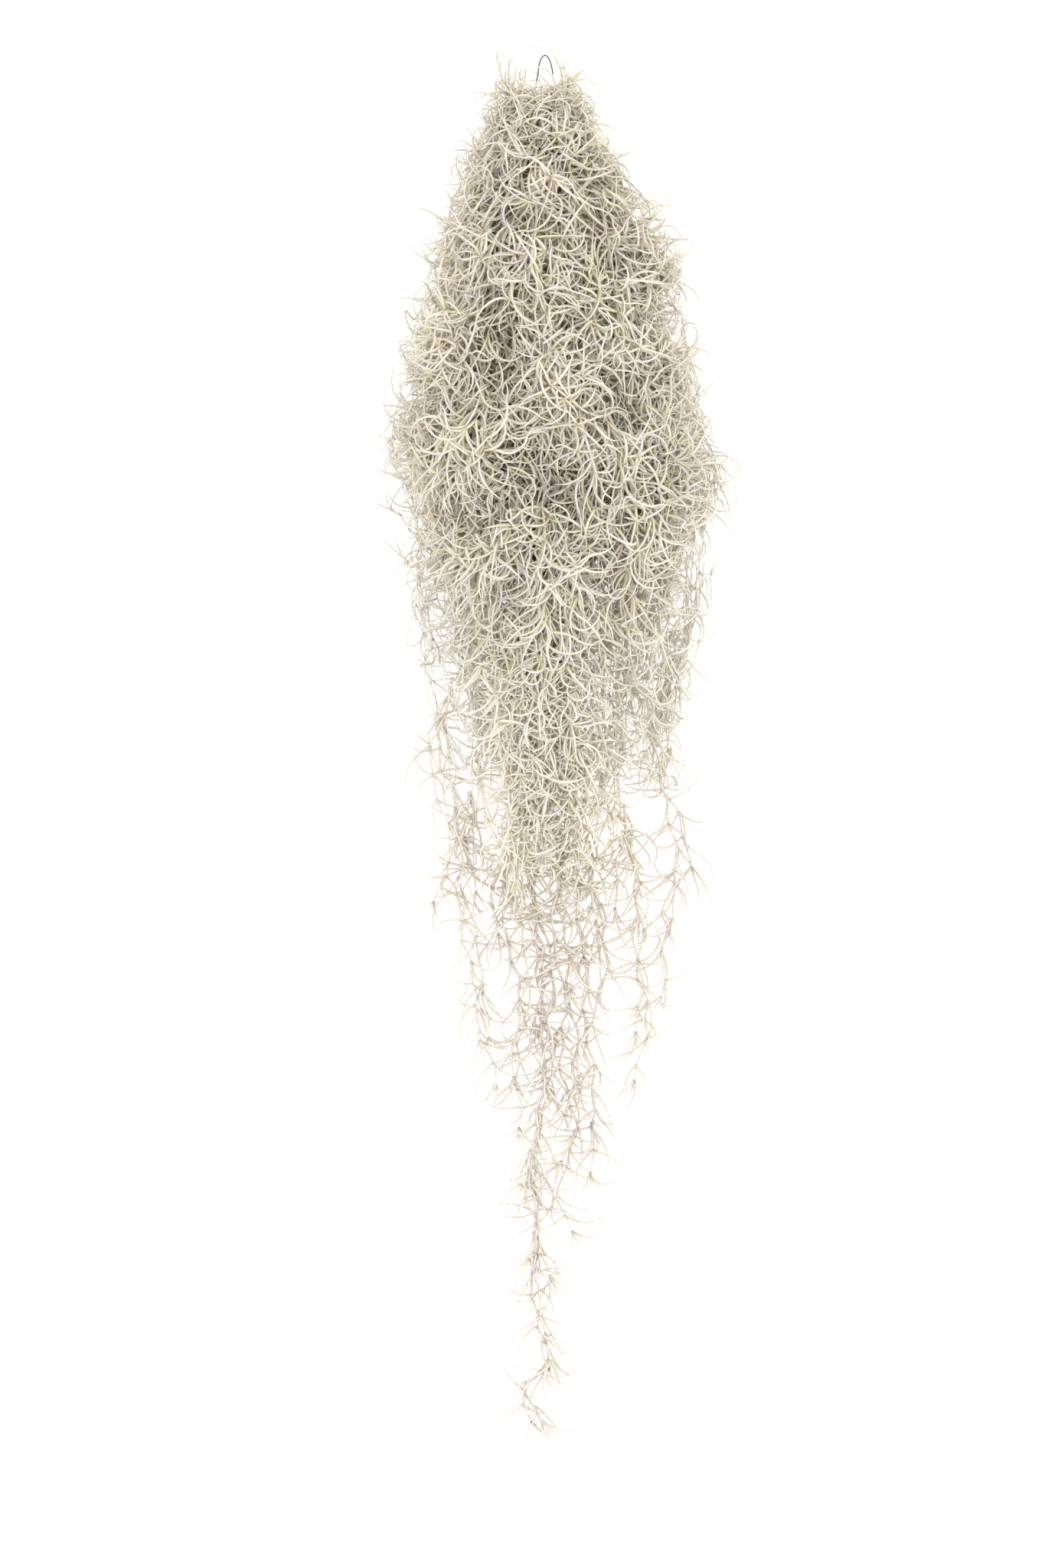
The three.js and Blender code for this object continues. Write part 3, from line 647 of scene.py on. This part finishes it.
# How many strands start between which distances down.
MASS_LAYERS = [(54, 20, 60), (44, 60, 130), (46, 130, 215), (34, 215, 300), (14, 300, 370)]
HIDDEN_ANGLE, HIDDEN_MOVED, HIDDEN_TURN = 2.0, 0.6, 0.55  # many strands underneath move round to the sides
OUTER_SHARE = 0.6
OUTER_LAYER, INNER_LAYER = (0.88, 1.0), (0.6, 0.85)  # how far out such strands lie
SIDE_ENDS, MIDDLE_ENDS_ON = (280, 365), (40, 180)  # where strands end, and how much further in the middle
SHORTEST_STRAND, LEAST_JOINTS = 60, 4
WANDER, WANDER_LENGTHS, WANDER_NOISE = 0.16, (45, 90), 0.04
WANDER_FROM = 40  # down from a strand's start
FROM_TIE = 70  # strands that start above this come out of the tie
EMERGING = 34  # the distance over which a strand comes to the surface
CLUMP_HEIGHT, SIDE_CLUMP_LOSS = 0.11, 0.55
GAP_DEPTH, GAP_BARE = -0.35, 0.75  # in gaps deeper than this, that share of the outer joints is bare
JOINT_STRAY = 1.6


def mass_strands():
    """Ways of the mass's strands: (joints, outs, share of the way out, clump's height, leafy or not)."""
    ways = []
    for number, low, high in MASS_LAYERS:
        for _ in range(number):
            start = rng.uniform(low, high)
            angle = rng.uniform(-math.pi, math.pi)
            if abs(angle) > HIDDEN_ANGLE and rng.uniform() < HIDDEN_MOVED:
                angle *= HIDDEN_TURN
            outer = rng.uniform() < OUTER_SHARE
            layer = rng.uniform(*OUTER_LAYER) if outer else rng.uniform(*INNER_LAYER)
            side = abs(math.sin(angle))
            end = rng.uniform(*SIDE_ENDS) + (1 - side ** 1.7) * rng.uniform(*MIDDLE_ENDS_ON)
            end = max(end, start + SHORTEST_STRAND)
            count = max(LEAST_JOINTS, int((end - start) / NODE_SPACING))
            down = np.linspace(start, end, count)
            wander = WANDER * np.sin(down / rng.uniform(*WANDER_LENGTHS) + rng.uniform(0, 6))
            wander = wander + rng.normal(0, WANDER_NOISE, count)
            turn = angle + wander * np.clip((down - start) / WANDER_FROM, 0.2, 1)
            high_place = lump(turn, down) * (1 - SIDE_CLUMP_LOSS * np.abs(np.sin(turn)) ** 2)
            emerge = np.clip((down - start) / EMERGING, 0, 1)
            emerge = 0.25 + 0.75 * emerge if start < FROM_TIE else 0.62 + 0.38 * emerge
            share = (layer + CLUMP_HEIGHT * high_place) * emerge
            places = section_point(down, turn, share) + rng.normal(0, JOINT_STRAY, (count, 3))
            outs = section_point(down, turn, share + 0.2) - section_point(down, turn, share)
            outs[..., 1] = 0
            gap = outer & (high_place < GAP_DEPTH) & (rng.uniform(size=count) < GAP_BARE)
            ways.append((places, unit(outs + 1e-6), share, high_place, ~gap))
    return ways


VEIL = ((32, "fall"), (34, "side"), (34, "wisp"))
VEIL_SWAY = (3, 8)
VEIL_INSET = 6  # inside the outline
VEIL_LOWEST = 3
# The fall down the middle, pale from its cream leaves and from painted light: its x, where it starts and
# ends, its height as a share, and its tones.
FALL_X, FALL_STARTS, FALL_ENDS = (-34, 34), (350, 440), (490, 595)
FALL_HIGH, FALL_TONES = (0.6, 1.0), (0.75, 1.0)
FALL_HALF = 90  # the mass's half width there
# The strands to both sides of it, with more on the right.
RIGHT_SHARE, ON_RIGHT, ON_LEFT = 0.64, (0.1, 0.98), (-0.88, -0.1)
HANG_STARTS, HANG_ENDS, HANG_HIGH, HANG_TONES = (290, 390), (410, 500), (0.15, 0.9), (0.6, 0.95)
HANG_ON = 90  # how much further down they may end in the middle
# Thin strands past the dense outline, most of them low down.
EDGE_STARTS, EDGE_LOW_STARTS = (60, 460), (300, 460)
EDGE_OUT, EDGE_LENGTHS, EDGE_HIGH, EDGE_TONES = (0.96, 1.04), (50, 110), (0.15, 0.5), (0.5, 0.9)


def veil_course(kind):
    """One loose strand's x in the middle, start, end, share of the way across, height and tone."""
    x_middle = None
    if kind == "fall":
        x_middle, start, end = rng.uniform(*FALL_X), rng.uniform(*FALL_STARTS), rng.uniform(*FALL_ENDS)
        across, highs, tones = x_middle / FALL_HALF, FALL_HIGH, FALL_TONES
    elif kind == "side":
        across = rng.uniform(*(ON_RIGHT if rng.uniform() < RIGHT_SHARE else ON_LEFT))
        start, end = rng.uniform(*HANG_STARTS), rng.uniform(*HANG_ENDS)
        end = end + HANG_ON * (1 - abs(across)) * rng.uniform(0, 1)
        highs, tones = HANG_HIGH, HANG_TONES
    else:
        start = rng.uniform(*(EDGE_STARTS if rng.uniform() < 0.5 else EDGE_LOW_STARTS))
        across = rng.choice([-1, 1]) * (rng.uniform(*EDGE_OUT) + max(start - 300, 0) / 600)
        end = start + rng.uniform(*EDGE_LENGTHS)
        highs, tones = EDGE_HIGH, EDGE_TONES
    return x_middle, start, end, across, rng.uniform(*highs), rng.uniform(*tones)


def veil_strands():
    """Looser strands that hang from the mass's lower half and past its sides: (kind, joints, outs, tone)."""
    ways = []
    for number, kind in VEIL:
        for _ in range(number):
            x_middle, start, end, across, high, tone = veil_course(kind)
            count = int((end - start) / NODE_SPACING) + 1
            down = np.linspace(start, end, count)
            left, right, top = outline_at(down)
            x = (left + right) / 2 + across * ((right - left) / 2 - VEIL_INSET)
            if kind == "fall":
                x = x_middle * np.interp(down, [400, 600], [1.0, 0.7])
            x = x + sway(down, VEIL_SWAY)
            z = np.maximum(high * (top - VEIL_INSET) * np.sqrt(np.maximum(1 - 0.6 * across ** 2, 0.1)), 4)
            places = np.stack([x, HEAD_Y - down, z], -1) + rng.normal(0, JOINT_STRAY, (count, 3))
            places[:, 2] = np.maximum(places[:, 2], VEIL_LOWEST)
            outs = unit(np.stack([np.full(count, across), np.zeros(count), np.full(count, 0.3 + high)], -1))
            ways.append((kind, places, outs, tone))
    return ways


LOCK_STRANDS = {"far_left": 1, "inner_right": 3, "right": 3}  # in a strand's lock
USUAL_LOCK_STRANDS = 2
LOCK_ENDS = (-40, 55)  # from the end of the CAD model's lock
LOCK_NEAR = (6, 26)  # the trailing strand's way
LOCK_JOINTS = 4  # at least


def lock_strands():
    """Strands of the locks that thin out over the beginnings of the trailing strands."""
    ways = []
    for name, (lock_end, way) in STRANDS.items():
        points = smooth_way([(x, HEAD_Y - down, z) for x, down, z in way], NODE_SPACING)
        down = HEAD_Y - points[:, 1]
        for _ in range(LOCK_STRANDS.get(name, USUAL_LOCK_STRANDS)):
            chosen = points[down < lock_end + rng.uniform(*LOCK_ENDS)]
            if len(chosen) < LOCK_JOINTS:
                continue
            t = np.arange(len(chosen))
            near = rng.uniform(*LOCK_NEAR) * (1 - 0.4 * t / len(chosen))
            phase = rng.uniform(0, 6)
            shift = np.stack([near * np.cos(t * 0.5 + phase), rng.normal(0, 3, len(t)),
                              np.abs(near * 0.6 * np.sin(t * 0.5 + phase))], -1)
            sideways, upwards = rng.normal(size=len(t)), 0.5 + rng.uniform(size=len(t))
            ways.append((chosen + shift, unit(np.stack([sideways, np.zeros(len(t)), upwards], -1))))
    return ways


HEAD_SHOOTS = 46
HEAD_STEP = 12.0
STANDING_SHOOTS = (-31, -29, -25, 13, 16, 19)  # the x of shoots that stand up past the others
STANDING_STEP = 9.0
HEAD_LOWEST = 3


def head_strands():
    """The strands' upper ends: they rise from the tie, bend over outwards and fall past it."""
    ways = []
    for i in range(HEAD_SHOOTS):
        angle = 2 * math.pi * i / HEAD_SHOOTS + rng.uniform(-0.1, 0.1)
        top = rng.uniform(15, 36)
        wide = rng.uniform(0.8, 1.4)
        course = [(7, TIE_DOWN + 2), (8, top + 8), (11, top + 1), (16, top + 6), (23, top + 20),
                  (30, top + 38)]  # as (distance from the tie's middle, down)
        points = [(r * wide * 1.15 * math.sin(angle) - 2, HEAD_Y - down,
                   max(TIE_LIFT + r * wide * 0.9 * math.cos(angle), HEAD_LOWEST)) for r, down in course]
        places = smooth_way(points, HEAD_STEP) + rng.normal(0, 1.0, 3)
        outs = np.tile([math.sin(angle), 0.15, math.cos(angle)], (len(places), 1))
        ways.append((places, unit(outs)))
    for x in STANDING_SHOOTS:
        points = [(x * 0.5, HEAD_Y - 36, TIE_LIFT), (x * 0.85, HEAD_Y - 24, TIE_LIFT + 4),
                  (x, HEAD_Y - 12, TIE_LIFT + 5)]
        places = smooth_way(points, STANDING_STEP) + rng.normal(0, 1.0, 3)
        ways.append((places, np.tile([0.0, 0.9, 0.44], (len(places), 1))))
    return ways


# ---------------------------------------------------------------- the mass

# The pieces that the mass's leaves are sorted into by how far down their roots are.
ZONES = {"moss_head": (-50, 92), "moss_upper": (92, 175), "moss_middle": (175, 262), "moss_broad": (262, 350),
         "moss_lower": (350, 450), "moss_veil": (450, 1100)}

DEEP_TONE, DEPTH_SHADE_GAIN = 0.30, 0.43  # the tone halfway out, and how much paler the surface is: painted shade that darkens the leaves deeper in the mass
CLUMP_SHADE_TONE = 0.09  # how much paler high places are and darker low ones, painted light and shade on the clumps, and again that much low down
RIGHT_LIGHT_TONE = 0.16  # how much paler the right side is: painted light, as if lit from the right
LOW_PALE_AND_LIT_TONE, LOWEST_PALE_AND_LIT_TONE = 0.9, 0.93  # which the tones near low down: the lower moss is paler itself, and painted light adds to it as if shining through the thin moss there
LOCK_TONE, HEAD_TONE = 0.85, 0.66
LOCK_FALL_SHARE = 0.7  # of the locks' strands are bright
MASS_LEAVES, LOOSE_LEAVES = (3, 5), (2, 4)  # from, and up to but without, at a joint


def mass_tones(places, share, high_place):
    """Tones of a strand's joints, with painted shade deep in and in gaps and painted light on clumps, on the
    right and low down, where the moss is also paler itself.
    """
    # painted shade: the deeper a strand lies in the mass, the darker its tones
    depth = np.clip((share - 0.5) / 0.5, 0, 1.1)
    down = HEAD_Y - places[:, 1]
    low_down = fade(down, 310, 420)
    # painted light on high clumps and painted shade in the gaps between them
    tones = DEEP_TONE + DEPTH_SHADE_GAIN * depth + (CLUMP_SHADE_TONE + CLUMP_SHADE_TONE * low_down) * high_place
    tones = tones + rng.normal(0, 0.05)
    # painted light: the right side's tones are raised as if lit from there
    tones = tones + RIGHT_LIGHT_TONE * np.clip(places[:, 0] / 70, -0.1, 1)
    # low down the tones grow paler, partly the moss's own colour and partly painted light
    tones = tones + low_down * rng.normal(0, 0.07) + low_down * (LOW_PALE_AND_LIT_TONE - tones) * 0.65
    return tones + fade(down, 400, 480) * (LOWEST_PALE_AND_LIT_TONE - tones)


def build_mass():
    """The mass's leaves and stems, in pieces by zone and by kind."""
    growth = Growth()
    for places, outs, share, high_place, leafy in mass_strands():
        tones = mass_tones(places, share, high_place)
        counts = rng.integers(*MASS_LEAVES, len(places)) * leafy
        grow_strand(growth, places, outs, tones, counts, *HABITS["mass"])
    for kind, places, outs, tone in veil_strands():
        growth.kind = "fall" if kind == "fall" else "fringe"
        counts = rng.integers(*(MASS_LEAVES if kind == "fall" else LOOSE_LEAVES), len(places))
        grow_strand(growth, places, outs, np.full(len(places), tone), counts, *HABITS[growth.kind])
    for places, outs in lock_strands():
        growth.kind = "fall" if rng.uniform() < LOCK_FALL_SHARE else "fringe"
        counts = rng.integers(*LOOSE_LEAVES, len(places))
        grow_strand(growth, places, outs, np.full(len(places), LOCK_TONE), counts, *HABITS["lock"])
    growth.kind = "mass"
    for places, outs in head_strands():
        counts = rng.integers(*LOOSE_LEAVES, len(places))
        grow_strand(growth, places, outs, np.full(len(places), HEAD_TONE), counts, *HABITS["head"])
    lines, radii, tones = leaf_lines(growth), growth.radii(LEAF_PROFILE), np.array(growth.tone)
    down, kinds = HEAD_Y - lines[:, 0, 1], np.array(growth.kinds)

    def leaves(name, chosen, material):
        return tubes(name, lines[chosen], radii[chosen], tones[chosen], LEAF_SIDES, material)

    pieces = []
    for name, (low, high) in ZONES.items():
        chosen = (down >= low) & (down < high) & (kinds == "mass")
        # the lowest zone's leaves take the paler fall material, partly painted light
        pieces.append(leaves(name, chosen, FALL if name == "moss_veil" else MOSS))
    for kind, material in {"fall": FALL, "fringe": FRINGE}.items():
        pieces.append(leaves(f"moss_{kind}", kinds == kind, material))
    for kind, material in {"mass": MOSS, "fall": FALL, "fringe": FRINGE}.items():
        stems = [stem[:3] for stem in growth.stems if stem[3] == kind]
        pieces.append(stem_piece(f"moss_{kind}_stems", stems, material))
    return pieces


RIGHT_WISPS = 6
WISP_STARTS, WISP_ENDS = (405, 445), (480, 530)
WISP_SWAY = (3, 7)
WISP_SIDE = (76, 100)
WISP_HIGH, WISP_LOW = (18, 34), (4, 14)
WISP_OUT = [0.8, 0.0, 0.6]
WISP_TONES = (0.7, 0.95)
WISP_SPACING = 1.15 * NODE_SPACING


def build_right_wisps():
    """Loose strands that hang past the lower mass on its right, where the bunch stays wide the longest."""
    growth = Growth(kind="fringe")
    for _ in range(RIGHT_WISPS):
        down = np.arange(rng.uniform(*WISP_STARTS), rng.uniform(*WISP_ENDS), WISP_SPACING)
        swing = sway(down, WISP_SWAY)
        height = np.linspace(rng.uniform(*WISP_HIGH), rng.uniform(*WISP_LOW), len(down))
        places = np.stack([rng.uniform(*WISP_SIDE) + swing, HEAD_Y - down, height], -1)
        outs = np.tile(WISP_OUT, (len(down), 1))
        tones = np.full(len(down), rng.uniform(*WISP_TONES))
        counts = rng.integers(*LOOSE_LEAVES, len(down))
        grow_strand(growth, places, outs, tones, counts, *HABITS["right_wisp"])
    lines = leaf_lines(growth, tries=1)  # free curls: a choice would fold them all back towards the mass
    leaves = tubes("moss_right_wisps", lines, growth.radii(LEAF_PROFILE), np.array(growth.tone), LEAF_SIDES,
                   FRINGE)
    return [leaves, stem_piece("moss_right_wisp_stems", [stem[:3] for stem in growth.stems], FRINGE)]


CORE_FROM, CORE_TO = 46, 430  # down
CORE_ROWS, CORE_SIDES = 96, 72
CORE_TAPER = np.array([(46, 0.3), (90, 0.66), (280, 0.62), (430, 0.12)])  # down, share of the way to the edge
CORE_LOWEST = 2.0


def build_core():
    """The matted inside of the mass, a lofted body well under the leaves."""
    downs = np.linspace(CORE_FROM, CORE_TO, CORE_ROWS)
    angle = np.linspace(-math.pi, math.pi, CORE_SIDES, endpoint=False)
    grid_down, grid_angle = np.meshgrid(downs, angle, indexing="ij")
    rough = (0.05 * np.sin(7 * grid_angle + grid_down / 19) * np.sin(grid_down / 11)
             + 0.04 * np.sin(13 * grid_angle - grid_down / 9)
             + 0.03 * np.sin(grid_down / 4.1 + 5 * grid_angle))
    taper = looked_up(CORE_TAPER, grid_down)
    verts = section_point(grid_down, grid_angle, taper + rough * taper)
    verts[..., 2] = np.maximum(verts[..., 2], CORE_LOWEST)
    faces = []
    for i in range(CORE_ROWS - 1):
        for j in range(CORE_SIDES):
            a, b = i * CORE_SIDES + j, i * CORE_SIDES + (j + 1) % CORE_SIDES
            faces.append((a, a + CORE_SIDES, b + CORE_SIDES, b))
    faces.append(tuple(range(CORE_SIDES)))
    faces.append(tuple(range((CORE_ROWS - 1) * CORE_SIDES, CORE_ROWS * CORE_SIDES))[::-1])
    mesh = bpy.data.meshes.new("moss_core")
    mesh.from_pydata((verts.reshape(-1, 3) * MM).tolist(), [], faces)
    mesh.polygons.foreach_set("use_smooth", np.ones(len(faces), bool))
    mesh.update()
    piece = bpy.data.objects.new("moss_core", mesh)
    bpy.context.collection.objects.link(piece)
    piece.data.materials.append(matted_shade_material())
    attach(piece, "root")
    return piece


# ---------------------------------------------------------------- trailing strands

# A trailing strand's stems: the share of the way that each goes, how far it twines off it, and the distance
# between its joints.
USUAL_STEMS = [(1.0, 0.0, 15.5), (0.86, 7.0, 18.5), (0.42, 12.0, 18.0)]
OTHER_STEMS = {
    "longest": [(1.0, 0.0, 13.5), (0.99, 5.0, 15.5), (0.72, 8.0, 17.5)],
    "far_left": [(1.0, 0.0, 16.5), (0.7, 8.0, 20.0)],
    "outer_right": [(1.0, 0.0, 16.5), (0.7, 8.0, 20.0)],
}
TRAILING_WAVES = 0.15  # share of the leaves that turn back once
IN_LOCK = 30  # how far up in its lock a strand begins
TRAILING_JOINTS = 3  # at least
ZIGZAG, TRAILING_SWAY = (0.5, 3.0), 3
TRAILING_LOWEST = 2.5
TRAILING_TONE = 0.46
TIP_LEAVES, TIP_CURLS, TIP_SIZE, TIP_TONE = 4, (0.3, 1.6), 0.85, 0.5
MAIN_TIP_LENGTHS, TWINED_TIP_LENGTHS = (12, 20), (18, 30)
TIP_LEAN, TIP_RECURVE, TIP_FLAT = (1.2, 2.6), 1.0, 0.6


def build_trailing(name, lock_end, way):
    """One trailing strand: its stem along the way, and shorter stems twined with its first part."""
    growth = Growth(waves=TRAILING_WAVES)
    route = [(x, HEAD_Y - down, z) for x, down, z in way]
    for reach, away, spacing in OTHER_STEMS.get(name, USUAL_STEMS):
        points = smooth_way(route, spacing)
        main = points[HEAD_Y - points[:, 1] > lock_end - IN_LOCK]
        places = main[:max(TRAILING_JOINTS, int(round(len(main) * reach)))].copy()
        t = np.arange(len(places))
        phase = rng.uniform(0, 6)
        zigzag = np.where(t % 2, 1.0, -1.0) * rng.uniform(*ZIGZAG, len(t))
        zigzag = zigzag + TRAILING_SWAY * np.sin(0.9 * t + rng.uniform(0, 6))
        near = away * np.clip(t / 3, 0.3, 1)
        places += np.stack([zigzag + near * np.cos(0.5 * t + phase), rng.uniform(-4, 4, len(t)) * (t < t[-1]),
                            rng.uniform(-1, 2, len(t)) + 0.45 * near * (1 + np.sin(0.5 * t + phase))], -1)
        places[:, 2] = np.maximum(places[:, 2], TRAILING_LOWEST)
        up = np.tile([0.0, 0.0, 1.0], (len(places), 1))
        counts = rng.integers(*LOOSE_LEAVES, len(places))
        counts[-1] = 1
        tones = np.full(len(places), TRAILING_TONE) + rng.normal(0, 0.06)
        grow_strand(growth, places, up, tones, counts, *HABITS["trailing"], mass=False)
        ahead = unit(places[-1] - places[-2])
        growth.node(places[-1], ahead, up[0], TIP_LEAVES, TWINED_TIP_LENGTHS if away else MAIN_TIP_LENGTHS,
                    TIP_CURLS, TIP_SIZE, TIP_TONE, TIP_LEAN, TIP_RECURVE, TIP_FLAT)
    leaves = tubes(f"trailing_{name}_leaves", leaf_lines(growth), growth.radii(TRAILING_PROFILE),
                   np.array(growth.tone), LEAF_SIDES, TRAILING)
    stems = [stem[:3] for stem in growth.stems]
    stem = stem_piece(f"trailing_{name}_stem", stems, TRAILING)
    for piece in (leaves, stem):
        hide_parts(f"trailing_strand_{name}")


# ---------------------------------------------------------------- the wire


def build_wire():
    """A tie round the strands inside the head, and the eye that goes on from it."""
    eye = smooth_way([(x, HEAD_Y - down, TIE_LIFT) for x, down in EYE_WAY], WIRE_STEP)
    turn = np.linspace(0, 2 * math.pi, TIE_STEPS)
    tie = np.stack([TIE_RADIUS * np.cos(turn), np.full(TIE_STEPS, HEAD_Y - TIE_DOWN),
                    TIE_LIFT + TIE_RADIUS * np.sin(turn)], -1)
    steel = wire_material()
    for name, line in {"wire_eye": eye, "wire_tie": tie}.items():
        radii = np.full(len(line), WIRE_RADIUS)
        piece = tubes(name, line[None], radii[None], np.array([0.5]), WIRE_SIDES, steel, mapped=False)
        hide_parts("hanging_wire")


core = build_core()
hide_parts("moss_mass")
for piece in build_mass():
    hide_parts("moss_mass")
for strand, (lock_end, way) in STRANDS.items():
    build_trailing(strand, lock_end, way)
build_wire()
for piece in build_right_wisps():
    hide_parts("moss_mass")

# ---------------------------------------------------------------- floor, light and camera

PHOTO_WIDTH, PHOTO_HEIGHT = 1365, 2048
MM_PER_PIXEL = 0.5577
HEAD_PIXEL = (712, 92)  # the photograph's pixel at x = 0 and down = 0
SENSOR = 36.0

# In metres, as Blender takes them.
CAMERA_HEIGHT = 2.6
PLANE_HEIGHT = 0.03  # the height at which the photograph's scale holds
FLOOR_SIZE, FLOOR_Z = 60, -0.0004
LIGHT_AIM = (0, -0.15, 0)
LIGHT_SIZE = 1.6

FLOOR_GREY, FLOOR_GLOW = 0.4, 0.84
WORLD_STRENGTH = 1.09
KEY_POWER, SECOND_POWER = 12, 9


def build_floor():
    bpy.ops.mesh.primitive_plane_add(size=FLOOR_SIZE, location=(0, 0, FLOOR_Z))
    floor = bpy.context.object
    floor.name = "pale_floor"
    material, _, shader = nodes_of("pale_floor")
    shader.inputs["Base Color"].default_value = (FLOOR_GREY, FLOOR_GREY, FLOOR_GREY, 1)
    shader.inputs["Roughness"].default_value = 0.9
    shader.inputs["Emission Color"].default_value = (1, 1, 1, 1)
    shader.inputs["Emission Strength"].default_value = FLOOR_GLOW
    floor.data.materials.append(material)


def area_light(name, place, power):
    data = bpy.data.lights.new(name, "AREA")
    data.shape, data.size, data.energy = "DISK", LIGHT_SIZE, power
    light = bpy.data.objects.new(name, data)
    bpy.context.collection.objects.link(light)
    light.location = place
    light.rotation_euler = (Vector(LIGHT_AIM) - Vector(place)).to_track_quat("-Z", "Y").to_euler()


def build_light():
    world = bpy.data.worlds.new("studio")
    bpy.context.scene.world = world
    world.use_nodes = True
    world.node_tree.nodes["Background"].inputs["Color"].default_value = (1, 1, 1, 1)
    world.node_tree.nodes["Background"].inputs["Strength"].default_value = WORLD_STRENGTH
    area_light("key_light", (0.65, 0.3, 2.2), KEY_POWER)
    area_light("second_light", (-0.4, -0.6, 2.4), SECOND_POWER)


def build_camera():
    """Straight above the bunch, so that the frame holds what the photograph's does, at the same scale."""
    data = bpy.data.cameras.new("camera")
    camera = bpy.data.objects.new("camera", data)
    bpy.context.collection.objects.link(camera)
    x = (PHOTO_WIDTH / 2 - HEAD_PIXEL[0]) * MM_PER_PIXEL * MM
    y = (HEAD_Y - (PHOTO_HEIGHT / 2 - HEAD_PIXEL[1]) * MM_PER_PIXEL) * MM
    camera.location = (x, y, CAMERA_HEIGHT)
    data.sensor_width = SENSOR
    data.lens = SENSOR * (CAMERA_HEIGHT - PLANE_HEIGHT) / (PHOTO_HEIGHT * MM_PER_PIXEL * MM)
    bpy.context.scene.camera = camera
    bpy.context.scene.view_settings.view_transform = "Standard"


build_floor()
build_light()
build_camera()
